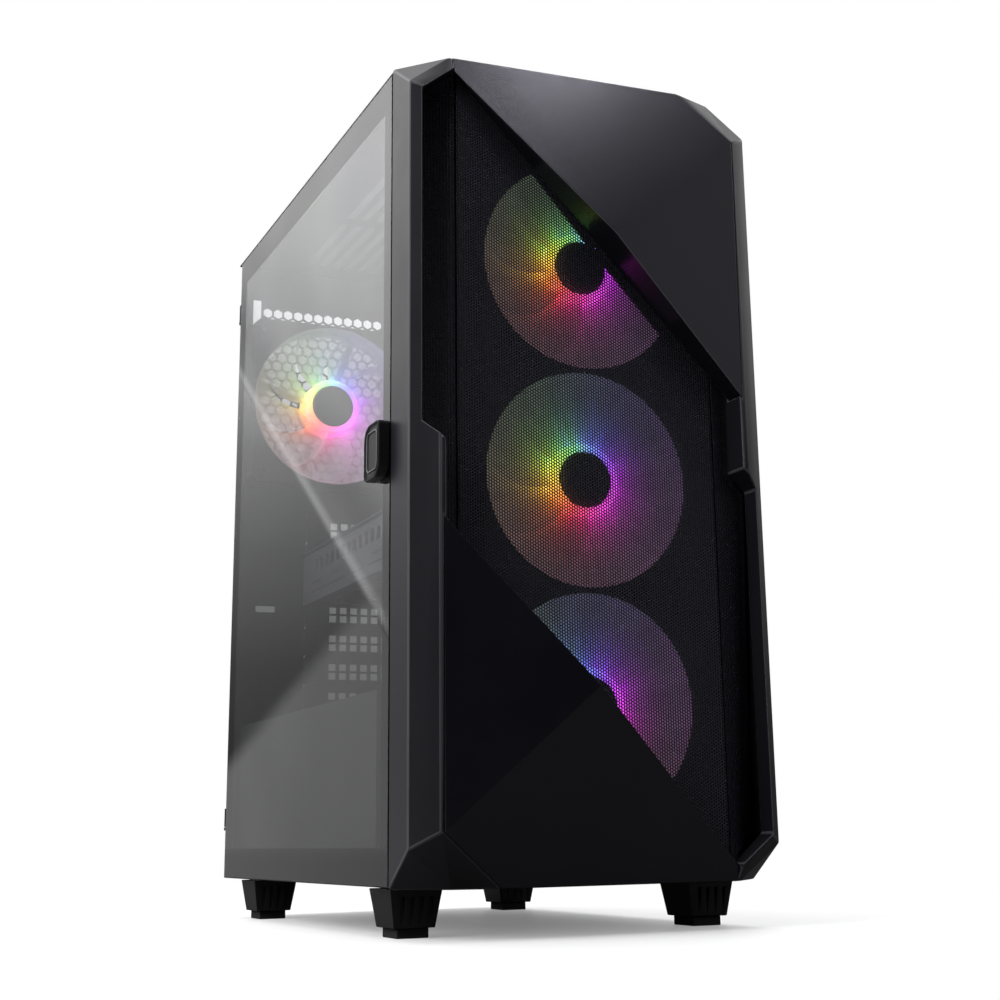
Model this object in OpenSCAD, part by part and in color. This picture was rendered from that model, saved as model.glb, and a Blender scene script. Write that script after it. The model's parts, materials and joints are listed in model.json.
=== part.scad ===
// Desktop computer tower with a faceted mesh front, a hinged glass door and a full interior.
// Origin: middle of the footprint, on the surface that the feet stand on.
// The front faces -Y, the glass door is on the -X side and +Z is up.

/* [Case] */
// Width of the case body, without the door handle
case_w = 208; // [208:1:214]
// Height of the case body, without its feet
case_h = 438; // [438:1:440]
// Depth from the front cover's seam to the outside of the rear panel
case_d = 340; // [340:1:344]
// Thickness of the folded steel sheet
sheet_t = 1; // [0.8:0.1:1.2]
// Height of the case body above the floor
foot_h = 24; // [22:1:30]

/* [Front cover] */
// How far the facets' tip stands in front of the seam
tip_d = 47; // [45:1:50]
// Half width of the flat ring that the bevelled rim slopes up to
ring_x = 90.6; // [90:0.1:91]
// Depth of that ring in front of the seam
ring_d = 38; // [37:0.5:39]
// Thickness of the perforated mesh
mesh_t = 0.8; // [0.6:0.1:1]

/* [Door] */
// Thickness of the glass
glass_t = 4; // [4:0.5:4]
// Width of the printed border at the door's front edge
border_w = 15; // [12:1:20]
// How far the handle stands out of the glass
handle_t = 6.5; // [5:0.5:8]
// Length of the handle
handle_l = 30; // [26:1:34]

/* [Fans] */
// Side of a case fan's square frame
fan_w = 120; // [118:1:120]
// Thickness of a case fan
fan_t = 25; // [25:1:25]
// Distance between the front fans' middles
fan_pitch = 120; // [120:0.5:121]
// Number of blades on a case fan
blade_n = 9; // [7:1:11]

/* [Interior] */
// Height of the power supply cover's top above the case bottom
shroud_h = 100; // [98:1:101]
// Pitch of the expansion slots
slot_pitch = 20.32; // [20.32:0.01:20.32]
// Number of expansion slots
slot_n = 7; // [7:1:7]
// Distance from the case's middle to the face of the main board
board_x = 72; // [72:0.5:73]

/* [Controls] */
// Travel of the two push buttons
button_travel = 1.2; // [0.8:0.1:1.5]
// Radius of the power button
power_r = 5.8; // [5:0.1:5.8]

/* [Hidden] */
$fn = 48;

// Everything below is placed from the seam point: case middle, front seam, case bottom.
rear_over = 8;
total_d = tip_d + case_d + rear_over;
seam_y = tip_d - total_d / 2;
shift_x = handle_t / 2;
half_w = case_w / 2;
mid_h = case_h / 2;
skin_x = half_w - glass_t;
rear_y = case_d - sheet_t;
roof_h = case_h - 2.5;
roof_t = 0.8;
pan_h = 2;
fan_h = [329, 329 - fan_pitch, 329 - 2 * fan_pitch];
fan_back = 4;
rear_fan = [-35, 329.4];
slot_h1 = 241.7;
tray_x = board_x + 8;
psu = [[-71, 139], [79, rear_y - 0.2], [5.2, 91]];
gpu_top = 223;
gpu_y = [98, rear_y - 1.4];
hinge_at = [-half_w + 2.4, case_d - 4];
barrel_r = 2.4;
pin_r = 1.5;
run_gap = 0.05;
knuckle_h = [34, 392];
knuckle_l = 12;
handle_at = [12.5, 222.5];
fold_x = 76;
mesh_y = -24;
wall_x = 97.2;

module seam() {
    translate([shift_x, seam_y, foot_h]) children();
}

// A box from its low and high limits along each axis.
module block(x, y, z) {
    translate([x[0], y[0], z[0]]) cube([x[1] - x[0], y[1] - y[0], z[1] - z[0]]);
}

// A cylinder along +Y from y0 to y1.
module along_y(x, y0, y1, h, r) {
    translate([x, y0, h]) rotate([-90, 0, 0]) cylinder(h = y1 - y0, r = r);
}

// A cylinder along +X from x0 to x1.
module along_x(x0, x1, y, h, r) {
    translate([x0, y, h]) rotate([0, 90, 0]) cylinder(h = x1 - x0, r = r);
}

// A flat outline in the X-Z plane given depth from y0 to y1.
module slab(y0, y1) {
    translate([0, y1, 0]) rotate([90, 0, 0]) linear_extrude(y1 - y0) children();
}

// The convex solid around a list of points.
module solid_of(points) {
    hull() polyhedron(points, [[for (i = [0:len(points) - 1]) i]]);
}

// The front cover looks the same after half a turn about its own middle.
module half_turn() {
    translate([0, 0, mid_h]) rotate([0, 180, 0]) translate([0, 0, -mid_h]) children();
}

// ---------------------------------------------------------------- chassis

module pan_slots() {
    for (i = [0:11]) block([-52, 52], [208 + 9.4 * i, 213 + 9.4 * i], [pan_h - 1, pan_h + 2]);
}

module bottom_pan() {
    color("dimgray") seam() {
        difference() {
            block([-97, 102.8], [5, rear_y], [pan_h, pan_h + sheet_t]);
            pan_slots();
        }
        block([-97, -96], [19, rear_y], [pan_h, 12]);
        block([101.8, 102.8], [5, rear_y - 10], [pan_h, 12]);
    }
}

module roof_panel() {
    color("dimgray") seam() {
        difference() {
            block([-103.8, 102.8], [0.6, case_d], [roof_h, roof_h + roof_t]);
            block([-52, 52], [9, 31], [roof_h - 1, roof_h + 2]);
            for (i = [0:11], y = [130, 230]) {
                block([-58 + 10 * i, -52 + 10 * i], [y, y + 88], [roof_h - 1, roof_h + 2]);
            }
        }
        block([-97, -96], [19, rear_y], [424, roof_h]);
        block([98.8, 99.8], [8, rear_y - 10], [424, roof_h]);
    }
}

module front_plate() {
    color("dimgray") seam() difference() {
        union() {
            block([-97, 98], [fan_back, fan_back + sheet_t], [3, roof_h]);
            block([-97, -96], [fan_back, 18], [3, roof_h]);
            block([97, 98], [fan_back, 18], [3, roof_h]);
        }
        for (h = fan_h) along_y(0, 0, 20, h, fan_w / 2 - 2.5);
        for (x = [-88, 88], h = [30, 405]) along_y(x, 0, 20, h, 3.3);
    }
}

module hex_vent(x, h, pitch, across) {
    rows = floor((h[1] - h[0]) / (pitch * 0.866));
    columns = floor((x[1] - x[0]) / pitch);
    for (j = [0:rows], i = [0:columns - (j % 2)]) {
        translate([x[0] + pitch * (i + (j % 2) / 2), h[0] + pitch * 0.866 * j])
            rotate(30) circle(d = across / 0.866, $fn = 6);
    }
}

module rear_panel() {
    slots_low = slot_h1 - slot_pitch * slot_n + slot_pitch / 2;
    color("dimgray") seam() {
        slab(rear_y, case_d) difference() {
            translate([-100.5, 3]) square([203.3, roof_h - 3]);
            hex_vent([-79, 12], [282, 408], 7.7, 6.4);
            translate([25.6, 254]) square([44.4, 158.7]);
            for (i = [0:slot_n - 1]) {
                translate([-38, slot_h1 - slot_pitch * i - 7.2]) square([98, 14.4]);
            }
            translate([-66, 10]) square([140, 76]);
            translate([-90, 389]) square([6, 22]);
            translate([-47.3, slots_low]) square([1.6, slot_h1 - slots_low + 10]);
            translate([-82.6, 180.7]) square([13.9, 4.3]);
            for (h = [60, 380]) translate([98.5, h]) circle(2);
            for (x = [-52.5, 52.5], z = [-52.5, 52.5]) {
                translate([rear_fan[0] + x, rear_fan[1] + z]) circle(2.3);
            }
        }
        block([-49.5, -48.5], [rear_y, case_d + 7], [slots_low - 4, slot_h1 + 14]);
    }
}

module motherboard_tray() {
    color("dimgray") seam() difference() {
        block([tray_x, tray_x + sheet_t], [18.5, rear_y], [shroud_h + 1, roof_h]);
        block([tray_x - 1, tray_x + 3], [212, 304], [284, 372]);
        for (h = [130, 205, 300]) block([tray_x - 1, tray_x + 3], [64, 84], [h, h + 60]);
        block([tray_x - 1, tray_x + 3], [280, 322], [420, 430]);
    }
}

module psu_shroud() {
    color("dimgray") seam() difference() {
        union() {
            block([-96, 101], [34, rear_y], [shroud_h - sheet_t, shroud_h]);
            block([-96, -95], [34, rear_y - 6], [14, shroud_h]);
        }
        for (i = [0:7]) block([-60, 30], [212 + 12 * i, 217 + 12 * i], [shroud_h - 3, shroud_h + 2]);
        block([40, 74], [50, 70], [shroud_h - 3, shroud_h + 2]);
    }
}

// Tapered foot with four grooves in its front face; it stands on a rubber pad.
module foot(x, y) {
    top = [14, 16.5];
    low = [11, 13.5];
    color([0.08, 0.08, 0.09]) seam() translate([x, y, 0]) {
        difference() {
            solid_of([
                for (s = [-1, 1], t = [-1, 1]) [s * top[0], t * top[1], 0],
                for (s = [-1, 1], t = [-1, 1]) [s * low[0], t * low[1], 5 - foot_h],
            ]);
            for (i = [-1.5:1:1.5]) translate([5 * i, -top[1] - 0.6, -foot_h]) {
                cube([1.6, 3.4, foot_h - 4]);
            }
        }
        block([-10, 10], [-10, 10], [0, pan_h]);
    }
}

foot_x = 84.5;
foot_y = [29, 291];

module foot_front_left() { foot(-foot_x, foot_y[0]); }
module foot_front_right() { foot(foot_x, foot_y[0]); }
module foot_rear_left() { foot(-foot_x, foot_y[1]); }
module foot_rear_right() { foot(foot_x, foot_y[1]); }

module foot_pads() {
    color([0.03, 0.03, 0.03]) seam() for (x = [-foot_x, foot_x], y = foot_y) {
        block([x - 8.5, x + 8.5], [y - 11, y + 11], [-foot_h, 5 - foot_h]);
    }
}

// ---------------------------------------------------------------- front cover

// Outer form of the rim: a box whose corners are cut back towards a flat ring.
module rim_form() {
    ring_h = 27;
    solid_of([
        for (s = [-1, 1], t = [-1, 1]) [s * half_w, 0, mid_h + t * mid_h],
        for (s = [-1, 1], t = [-1, 1]) [s * half_w, -27.5, mid_h + t * (mid_h - 19)],
        for (s = [-1, 1], t = [-1, 1]) [s * 80.5, -25.3, mid_h + t * mid_h],
        for (s = [-1, 1], t = [-1, 1]) [s * 57.8, -33, mid_h + t * mid_h],
        for (s = [-1, 1], t = [-1, 1]) [s * ring_x, -ring_d, mid_h + t * (mid_h - ring_h)],
    ]);
}

// Space for the fans behind the rim, cut back at its corners like the rim itself.
module rim_hollow() {
    wall = 3;
    solid_of([
        for (s = [-1, 1], t = [-1, 1]) [s * (half_w - wall), 1, mid_h + t * (mid_h - wall)],
        for (s = [-1, 1], t = [-1, 1]) [s * (half_w - wall), -19, mid_h + t * (mid_h - 18)],
        for (s = [-1, 1], t = [-1, 1]) [s * 81, -19, mid_h + t * (mid_h - wall)],
    ]);
}

// Half of the opening inside the rim; the other half is its half turn.
window = [[-98, 230], [-98, 414], [-80, 429], [60, 429], [87.2, 406], [87.2, 218]];
window_turned = [for (p = window) [-p[0], case_h - p[1]]];

// Outline of the upper facets, seen from the front.
facet_out = [[-79.6, 430.6], [-78.5, 438], [57.8, 438], [89, 411], [88.5, 258]];

module facet_cut() {
    slab(-60, mesh_y - 0.8) polygon(facet_out);
}

module front_frame() {
    color([0.13, 0.13, 0.14]) seam() difference() {
        rim_form();
        slab(-60, 1) polygon(concat(window, window_turned));
        rim_hollow();
        facet_cut();
        half_turn() facet_cut();
    }
}

// Pegs that push into the front plate's holes, each on an arm from the rim's side wall.
module cover_pegs() {
    color([0.13, 0.13, 0.14]) seam() for (x = [-88, 88], h = [30, 405]) {
        along_y(x, -3, 6, h, 3);
        block([x < 0 ? -101 : x - 4, x < 0 ? x + 4 : 101], [-5, -2], [h - 4, h + 4]);
    }
}

// Two flat facets that meet in a ridge, standing out of the rim.
module facet_solid() {
    back = mesh_y - 0.9;
    front = [[-79.6, -27.2, 430.6], [-78.5, -26, 438], [57.8, -33, 438], [89, -39, 411],
        [88.5, -38, 258], [8, -tip_d, 340.9]];
    solid_of(concat(front, [for (p = facet_out) [p[0], back, p[1]]]));
}

module facet_upper() { color([0.12, 0.12, 0.14]) seam() facet_solid(); }
module facet_lower() { color([0.1, 0.1, 0.11]) seam() half_turn() facet_solid(); }

// Depth of the mesh where it meets the side wall, h above the case bottom on the right.
function wall_y(h) = h > 259 ? -18.5 : -18.5 + 0.017 * (259 - h) + 0.0001555 * pow(259 - h, 2);

module mesh_side() {
    rows = [300, 259, 180, 110, 60, 25];
    for (i = [0:len(rows) - 2]) solid_of([
        for (h = [rows[i], rows[i + 1]], t = [0, mesh_t]) [fold_x, mesh_y + t, h],
        for (h = [rows[i], rows[i + 1]], t = [0, mesh_t]) [wall_x, wall_y(h) + t, h],
    ]);
    solid_of([for (t = [0, mesh_t]) each [[fold_x, mesh_y + t, 11], [fold_x, mesh_y + t, 25],
        [wall_x, wall_y(25) + t, 25], [80, mesh_y + 3.4 + t, 11]]]);
}

// The window's outline, a little smaller.
mesh_out = [for (p = concat(window, window_turned)) [0.994 * p[0], mid_h + 0.997 * (p[1] - mid_h)]];

module front_mesh() {
    color([0.05, 0.05, 0.05]) seam() intersection() {
        union() {
            block([-fold_x, fold_x], [mesh_y, mesh_y + mesh_t], [11, case_h - 11]);
            mesh_side();
            half_turn() mesh_side();
        }
        slab(-30, 0) polygon(mesh_out);
    }
}

// ---------------------------------------------------------------- glass door

module door_glass() {
    color([0.55, 0.58, 0.6, 0.35]) seam() difference() {
        block([-half_w, -skin_x], [0.8, case_d - 7], [1, roof_h - 0.5]);
        along_x(-half_w - 1, -skin_x + 1, handle_at[0], handle_at[1], 3.2);
    }
}

module door_frame() {
    leaf_x = [-skin_x, 1.1 - skin_x];
    color([0.06, 0.06, 0.06]) seam() {
        difference() {
            block(leaf_x, [1, case_d - 7], [1.5, roof_h - 1]);
            block([-half_w, 0], [border_w, 320], [20, 417]);
            along_x(-half_w - 1, -skin_x + 4, handle_at[0], handle_at[1], 3.2);
        }
        for (h = knuckle_h) difference() {
            union() {
                block(leaf_x, [case_d - 9, hinge_at[1]], [h, h + knuckle_l]);
                translate([hinge_at[0], hinge_at[1], h]) cylinder(h = knuckle_l, r = barrel_r);
            }
            translate([hinge_at[0], hinge_at[1], h - 1]) cylinder(h = knuckle_l + 2, r = pin_r + run_gap);
        }
    }
}

// Outline of the pull handle: two opposite corners are round, two are nearly sharp.
module handle_outline(inset) {
    half = [12, handle_l / 2];
    hull() {
        translate([half[0] - 9, half[1] - 9]) circle(9 - inset, $fn = 32);
        translate([9 - half[0], 9 - half[1]]) circle(9 - inset, $fn = 32);
        translate([3 - half[0], half[1] - 3]) circle(3 - inset, $fn = 32);
        translate([half[0] - 3, 3 - half[1]]) circle(3 - inset, $fn = 32);
    }
}

module door_handle() {
    color([0.07, 0.07, 0.07]) seam() translate([-half_w, handle_at[0], handle_at[1]])
        rotate([90, 0, -90]) mirror([1, 0, 0]) difference() {
            linear_extrude(handle_t) handle_outline(0);
            translate([0, 0, handle_t - 0.8]) linear_extrude(2) handle_outline(1.2);
        }
}

module handle_bolt() {
    color("silver") seam() {
        along_x(-half_w, 1.2 - skin_x, handle_at[0], handle_at[1], 2.8);
        along_x(1.1 - skin_x, 2.3 - skin_x, handle_at[0], handle_at[1], 5);
    }
}

module door_magnets() {
    color("silver") seam() for (h = [150, 290]) block([-98.6, -97], [6, 16], [h - 12, h + 12]);
}

module hinge_brackets() {
    color("dimgray") seam() for (h = knuckle_h) {
        translate([hinge_at[0], hinge_at[1], h - 2.3]) {
            cylinder(h = 2, r = 2.5);
            cylinder(h = knuckle_l, r = pin_r);
            block([0, 10], [-1, rear_y - hinge_at[1]], [0, 2]);
        }
    }
}

// ---------------------------------------------------------------- right side and top

module side_panel() {
    color([0.1, 0.1, 0.1]) seam() difference() {
        union() {
            block([half_w - sheet_t, half_w], [0.8, case_d + 1.2], [0.5, case_h - 0.5]);
            block([91.5, half_w], [case_d + 0.2, case_d + 1.2], [3, case_h - 4]);
            block([100, half_w], [8, 320], [0.5, 1.4]);
            block([100, half_w], [8, 320], [roof_h - 1.4, roof_h - 0.5]);
        }
        for (h = [60, 380]) along_y(98.5, case_d - 1, case_d + 3, h, 2);
    }
}

module side_panel_screws() {
    color("silver") seam() for (h = [60, 380]) {
        along_y(98.5, case_d - 8, case_d + 1.3, h, 1.7);
        along_y(98.5, case_d + 1.2, case_d + rear_over, h, 5);
    }
}

module top_filter() {
    color([0.08, 0.08, 0.08]) seam() difference() {
        block([-102, 98], [116, 328], [roof_h + roof_t, case_h]);
        block([-96, 92], [122, 322], [roof_h, case_h + 1]);
    }
}

module top_filter_mesh() {
    color([0.05, 0.05, 0.05]) seam() block([-96, 92], [122, 322], [roof_h + roof_t, roof_h + 1.4]);
}

module psu_filter() {
    color([0.08, 0.08, 0.08]) seam() {
        difference() {
            block([-62, 62], [200, case_d], [0.3, 1.8]);
            for (x = [-57, 2]) block([x, x + 55], [206, 330], [0, 1.1]);
        }
        block([-16, 16], [case_d - 1, case_d + 6], [0.3, 1.8]);
    }
}

// Ports and buttons sit behind the front cover, in the roof.
button_x = -38;
reset_x = -21;
usb_x = [-4, 16];
jack_x = [33, 44];
io_y = 20;

module io_module() {
    color([0.07, 0.07, 0.07]) seam() difference() {
        union() {
            block([-52, 52], [9.2, 30.8], [423, roof_h + roof_t]);
            block([-54, 54], [7, 33], [roof_h + roof_t, roof_h + 2]);
        }
        translate([button_x, io_y, 425]) cylinder(h = 20, r = 6.1);
        translate([reset_x, io_y, 425]) cylinder(h = 20, r = 3.1);
        for (x = usb_x) block([x - 6.6, x + 6.6], [io_y - 3, io_y + 3], [425, case_h]);
        for (x = jack_x) translate([x, io_y, 425]) cylinder(h = 20, r = 3.3);
    }
}

module power_button() {
    color([0.1, 0.1, 0.1]) seam() translate([button_x, io_y, 427]) cylinder(h = 10.9, r = power_r);
}

module reset_button() {
    color([0.1, 0.1, 0.1]) seam() translate([reset_x, io_y, 427]) cylinder(h = 10.6, r = 2.8);
}

module usb_ports() {
    color("silver") seam() for (x = usb_x) {
        difference() {
            block([x - 6.6, x + 6.6], [io_y - 3, io_y + 3], [425, roof_h + 1.8]);
            block([x - 6.1, x + 6.1], [io_y - 2.4, io_y + 2.4], [426.5, case_h]);
        }
        block([x - 5.4, x + 5.4], [io_y - 1.9, io_y - 0.3], [426.4, roof_h]);
    }
}

module audio_jacks() {
    color([0.05, 0.05, 0.05]) seam() for (x = jack_x) difference() {
        translate([x, io_y, 425]) cylinder(h = 12.1, r = 3.3);
        translate([x, io_y, 425.6]) cylinder(h = 20, r = 1.8);
    }
}

// ---------------------------------------------------------------- fans

// Square fan frame; the air comes in at z = 0 and leaves at the strut side, z = depth.
module fan_frame(w, depth, r, hub) {
    screw = w / 2 - 7.5;
    difference() {
        union() {
            difference() {
                translate([-w / 2, -w / 2, 0]) cube([w, w, depth]);
                translate([0, 0, -1]) cylinder(h = depth + 2, r = r);
                translate([0, 0, -1]) for (a = [0:90:270]) rotate(a)
                    translate([w / 2, w / 2, 0]) rotate(45) cube([6, 6, 3 * depth], center = true);
            }
            translate([0, 0, depth - 3]) cylinder(h = 3, r = hub);
            translate([0, 0, depth - 3]) for (a = [20:90:290]) rotate(a)
                translate([hub - 1, -2, 0]) cube([r - hub + 2, 4, 3]);
        }
        translate([0, 0, depth - 3.1]) cylinder(h = 2.3, r = 1.5 + run_gap);
        for (x = [-screw, screw], y = [-screw, screw]) {
            translate([x, y, -1]) cylinder(h = depth + 2, r = 2.15);
        }
    }
}

// Hub with pitched blades around it; the shaft runs in the frame's hub.
module fan_rotor(tip_r, hub, low, high, n, shaft_top) {
    root = hub - 1.5;
    chord = 5.2 * tip_r / n;
    translate([0, 0, low]) cylinder(h = high - low, r = hub);
    translate([0, 0, high - 1]) cylinder(h = shaft_top - high + 1, r = 1.5);
    for (i = [0:n - 1]) rotate(360 / n * i) blade(root, tip_r, chord, low + 1, high - 1);
}

// One blade: a thin twisted sheet between the hub and the tip.
module blade(r0, r1, chord, z0, z1) {
    skin = 1.2;
    lead = chord * 0.55;
    tail = -chord * 0.45;
    a = [r0, tail * 0.35];
    b = [r0, lead * 0.35];
    c = [sqrt(r1 * r1 - lead * lead), lead];
    d = [sqrt(r1 * r1 - tail * tail), tail];
    polyhedron([
        [a[0], a[1], z1 - skin], [b[0], b[1], z0], [c[0], c[1], z0], [d[0], d[1], z1 - skin],
        [a[0], a[1], z1], [b[0], b[1], z0 + skin], [c[0], c[1], z0 + skin], [d[0], d[1], z1],
    ], [
        [0, 2, 1], [0, 3, 2], [4, 5, 6], [4, 6, 7], [0, 1, 5], [0, 5, 4],
        [1, 2, 6], [1, 6, 5], [2, 3, 7], [2, 7, 6], [3, 0, 4], [3, 4, 7],
    ]);
}

module case_fan_frame(x, y, h) {
    color([0.05, 0.05, 0.05]) seam() translate([x, y, h]) rotate([-90, 0, 0])
        fan_frame(fan_w, fan_t, fan_w / 2 - 1.5, 21);
}

module case_fan_rotor(x, y, h) {
    color([0.8, 0.5, 0.8]) seam() translate([x, y, h]) rotate([-90, 0, 0])
        fan_rotor(fan_w / 2 - 3.5, 20, 2, fan_t - 3.6, blade_n, fan_t - 1.2);
}

module front_fan_frame(i) { case_fan_frame(0, fan_back - fan_t, fan_h[i]); }
module front_fan_rotor(i) { case_fan_rotor(0, fan_back - fan_t, fan_h[i]); }
module fan_top_frame() { front_fan_frame(0); }
module fan_top_rotor() { front_fan_rotor(0); }
module fan_middle_frame() { front_fan_frame(1); }
module fan_middle_rotor() { front_fan_rotor(1); }
module fan_bottom_frame() { front_fan_frame(2); }
module fan_bottom_rotor() { front_fan_rotor(2); }
module fan_rear_frame() { case_fan_frame(rear_fan[0], rear_y - fan_t, rear_fan[1]); }
module fan_rear_rotor() { case_fan_rotor(rear_fan[0], rear_y - fan_t, rear_fan[1]); }

module rear_fan_screws() {
    color("silver") seam() for (x = [-52.5, 52.5], z = [-52.5, 52.5]) {
        along_y(rear_fan[0] + x, rear_y - 8, case_d, rear_fan[1] + z, 1.8);
        along_y(rear_fan[0] + x, case_d, case_d + 2, rear_fan[1] + z, 3.6);
    }
}

// ---------------------------------------------------------------- board and cooler

board_t = 1.6;
board_y = [94.5, 338.3];
board_h = [109, 414];
socket = [258, 329];

module motherboard() {
    face = board_x;
    color([0.05, 0.06, 0.06]) seam() {
        block([face, face + board_t], board_y, board_h);
        block([face - 2, face], [socket[0] - 22, socket[0] + 22], [socket[1] - 25, socket[1] + 25]);
        for (i = [0:3]) {
            difference() {
                block([face - 6, face], [158 + 9.6 * i, 165 + 9.6 * i], [266, 404]);
                block([face - 5, face - 4 + 5], [160.4 + 9.6 * i, 162.6 + 9.6 * i], [271, 399]);
                block([face - 7, face - 4], [160.4 + 9.6 * i, 162.6 + 9.6 * i], [271, 399]);
            }
        }
        block([face - 12, face], [96, 106], [300, 352]);
        block([face - 11, face], [300, 320], [403, 412]);
        for (k = [1, 3]) difference() {
            block([face - 11, face], [206, 296], [218 - 40.64 * (k - 1), 226 - 40.64 * (k - 1)]);
            block([face - 12, face - 3], [208, 294], [221 - 40.64 * (k - 1), 223 - 40.64 * (k - 1)]);
        }
        block([face - 14, face], [306, 334], [352, 398]);
        block([face - 14, face], [228, 292], [386, 402]);
        block([face - 9, face], [120, 164], [128, 172]);
        block([face - 16, face], [314, 338.3], [256, 350]);
    }
}

module board_standoffs() {
    color("goldenrod") seam() for (y = [100, 212, 332], h = [115, 240, 408]) {
        along_x(board_x + board_t, tray_x, y, h, 2.8);
    }
}

module io_shield() {
    color("silver") seam() difference() {
        block([25.8, 69.8], [rear_y + 0.1, case_d], [254.2, 412.5]);
        for (h = [262, 280, 298]) block([44, 60], [rear_y - 1, case_d + 1], [h, h + 13]);
        block([40, 58], [rear_y - 1, case_d + 1], [322, 338]);
        for (h = [350, 368]) block([28, 58], [rear_y - 1, case_d + 1], [h, h + 10]);
        for (h = [388, 400], x = [36, 50]) along_y(x, rear_y - 1, case_d + 1, h, 3.6);
    }
}

module memory_sticks() {
    color([0.1, 0.1, 0.11]) seam() for (i = [1, 3]) {
        block([board_x - 44, board_x - 6.2], [157.8 + 9.6 * i, 165.2 + 9.6 * i], [268.5, 401.5]);
        block([board_x - 6.2, board_x - 4.2], [160.8 + 9.6 * i, 162.2 + 9.6 * i], [272, 398]);
    }
}

cooler_x = [22, board_x - 2];

module cooler_heatsink() {
    half = 46;
    color("silver") seam() {
        block([cooler_x[1] - 12, cooler_x[1]], [socket[0] - 20, socket[0] + 20], [socket[1] - 20, socket[1] + 20]);
        block([cooler_x[1] - 15, cooler_x[1] - 12], [socket[0] - half, socket[0] + half],
            [socket[1] - half, socket[1] + half]);
        for (i = [0:22]) translate([0, 0, socket[1] - half + 4 * i]) {
            block([cooler_x[0], cooler_x[1] - 14], [socket[0] - half, socket[0] + half], [0, 0.8]);
        }
    }
}

module facing_board() {
    translate([cooler_x[0] - 15, socket[0], socket[1]]) rotate([0, 90, 0]) children();
}

module cooler_fan_frame() {
    color([0.05, 0.05, 0.05]) seam() facing_board() fan_frame(92, 15, 44, 17);
}

module cooler_rotor() {
    color([0.7, 0.5, 0.8]) seam() facing_board() fan_rotor(42.5, 16, 1.5, 11.6, 7, 14);
}

// ---------------------------------------------------------------- graphics card

gpu_fans = [160, 268];
gpu_mid_x = 4;

module graphics_board() {
    color([0.05, 0.07, 0.06]) seam() {
        block([-48, 60.6], gpu_y, [219.4, 221]);
        block([60.5, 68.4], [210, 292], [221.3 - 0.2, 222.9 - 0.2]);
        block([60, 61], [210, 292], [219.4, 222.7]);
        block([-50, 60], [gpu_y[0], gpu_y[1] - 2], [221.8, gpu_top]);
        for (y = [110, 220, 330], x = [-44, 50]) block([x, x + 4], [y, y + 4], [221, 221.8]);
        difference() {
            block([-46, 60], [rear_y - 1.4, rear_y - 0.2], [192, 230.6]);
            for (x = [-30, 4]) block([x, x + 17], [rear_y - 3, case_d], [214, 219]);
            block([-20, 40], [rear_y - 3, case_d], [196, 205]);
        }
        block([-47, -46], [rear_y - 1.4, case_d + 6], [192, 230.6]);
    }
}

module graphics_shroud() {
    low = 185;
    color([0.07, 0.07, 0.08]) seam() difference() {
        block([-50, 60], [gpu_y[0], gpu_y[1] - 4], [low, 219.2]);
        for (y = gpu_fans) translate([gpu_mid_x, y, low - 1]) cylinder(h = 19, r = 46);
        translate([-50, gpu_y[0], low]) rotate([0, 0, 45]) cube([20, 20, 90], center = true);
        for (i = [0:15]) block([-60, -44], [118 + 12 * i, 124 + 12 * i], [206, 214]);
    }
}

module graphics_rotor(y) {
    color([0.1, 0.1, 0.1]) seam() translate([gpu_mid_x, y, 186]) {
        fan_rotor(44.5, 15, 0, 12, 9, 16.8);
    }
}

module graphics_rotor_front() { graphics_rotor(gpu_fans[0]); }
module graphics_rotor_rear() { graphics_rotor(gpu_fans[1]); }

// Blank covers on the slots that the graphics card leaves free.
module slot_covers() {
    color([0.4, 0.4, 0.42]) seam() for (i = [0, 3, 4, 5, 6]) translate([0, 0, slot_h1 - slot_pitch * i]) {
        slab(rear_y - 1.1, rear_y - 0.1) difference() {
            translate([-46, -9.4]) square([108, 18.8]);
            for (k = [0:10], h = [-5.6, 0.6]) translate([-29 + 7.8 * k, h]) square([5.2, 4.8]);
        }
        block([-47, -46], [rear_y - 1.1, case_d + 6], [-9.4, 9.4]);
    }
}

// ---------------------------------------------------------------- power supply and drive

inlet_x = [48, 74];
switch_at = [36, 76];

module psu_case() {
    color([0.12, 0.12, 0.12]) seam() difference() {
        block([psu[0][0], psu[1][0]], [psu[0][1] + 60, psu[1][1]], psu[2]);
        translate([4, 268, psu[2][0] - 1]) cylinder(h = 23, r = 62);
        block(inlet_x, [psu[1][1] - 12, case_d], [62, 86]);
        block([switch_at[0] - 7, switch_at[0] + 7], [psu[1][1] - 12, case_d], [66, 86]);
        for (i = [0:11]) block([-64, 22], [psu[1][1] - 2, case_d], [13 + 6 * i, 16 + 6 * i]);
    }
}

module psu_rotor() {
    color([0.1, 0.1, 0.1]) seam() translate([4, 268, psu[2][0] + 1]) fan_rotor(58, 20, 0, 15, 9, 21);
}

module psu_inlet() {
    y = psu[1][1];
    color([0.04, 0.04, 0.04]) seam() {
        difference() {
            block([inlet_x[0] + 0.2, inlet_x[1] - 0.2], [y - 12, y], [62.2, 85.8]);
            block([inlet_x[0] + 2, inlet_x[1] - 2], [y - 10, y + 1], [66, 82]);
        }
        for (x = [-6, 0, 6]) block([60 + x, 62 + x], [y - 10.5, y - 2], [72, 76]);
    }
}

module psu_switch() {
    y = psu[1][1];
    color([0.05, 0.05, 0.05]) seam() translate([switch_at[0], y - 5, switch_at[1]]) rotate([-6, 0, 0]) {
        difference() {
            block([-6, 6], [-3, 5.5], [-8.6, 8.6]);
            translate([0, 10.5, 0]) rotate([0, 90, 0]) cylinder(h = 20, r = 6.5, center = true);
        }
        along_x(-6.6, 6.6, 0, 0, 1.5);
    }
}

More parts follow.
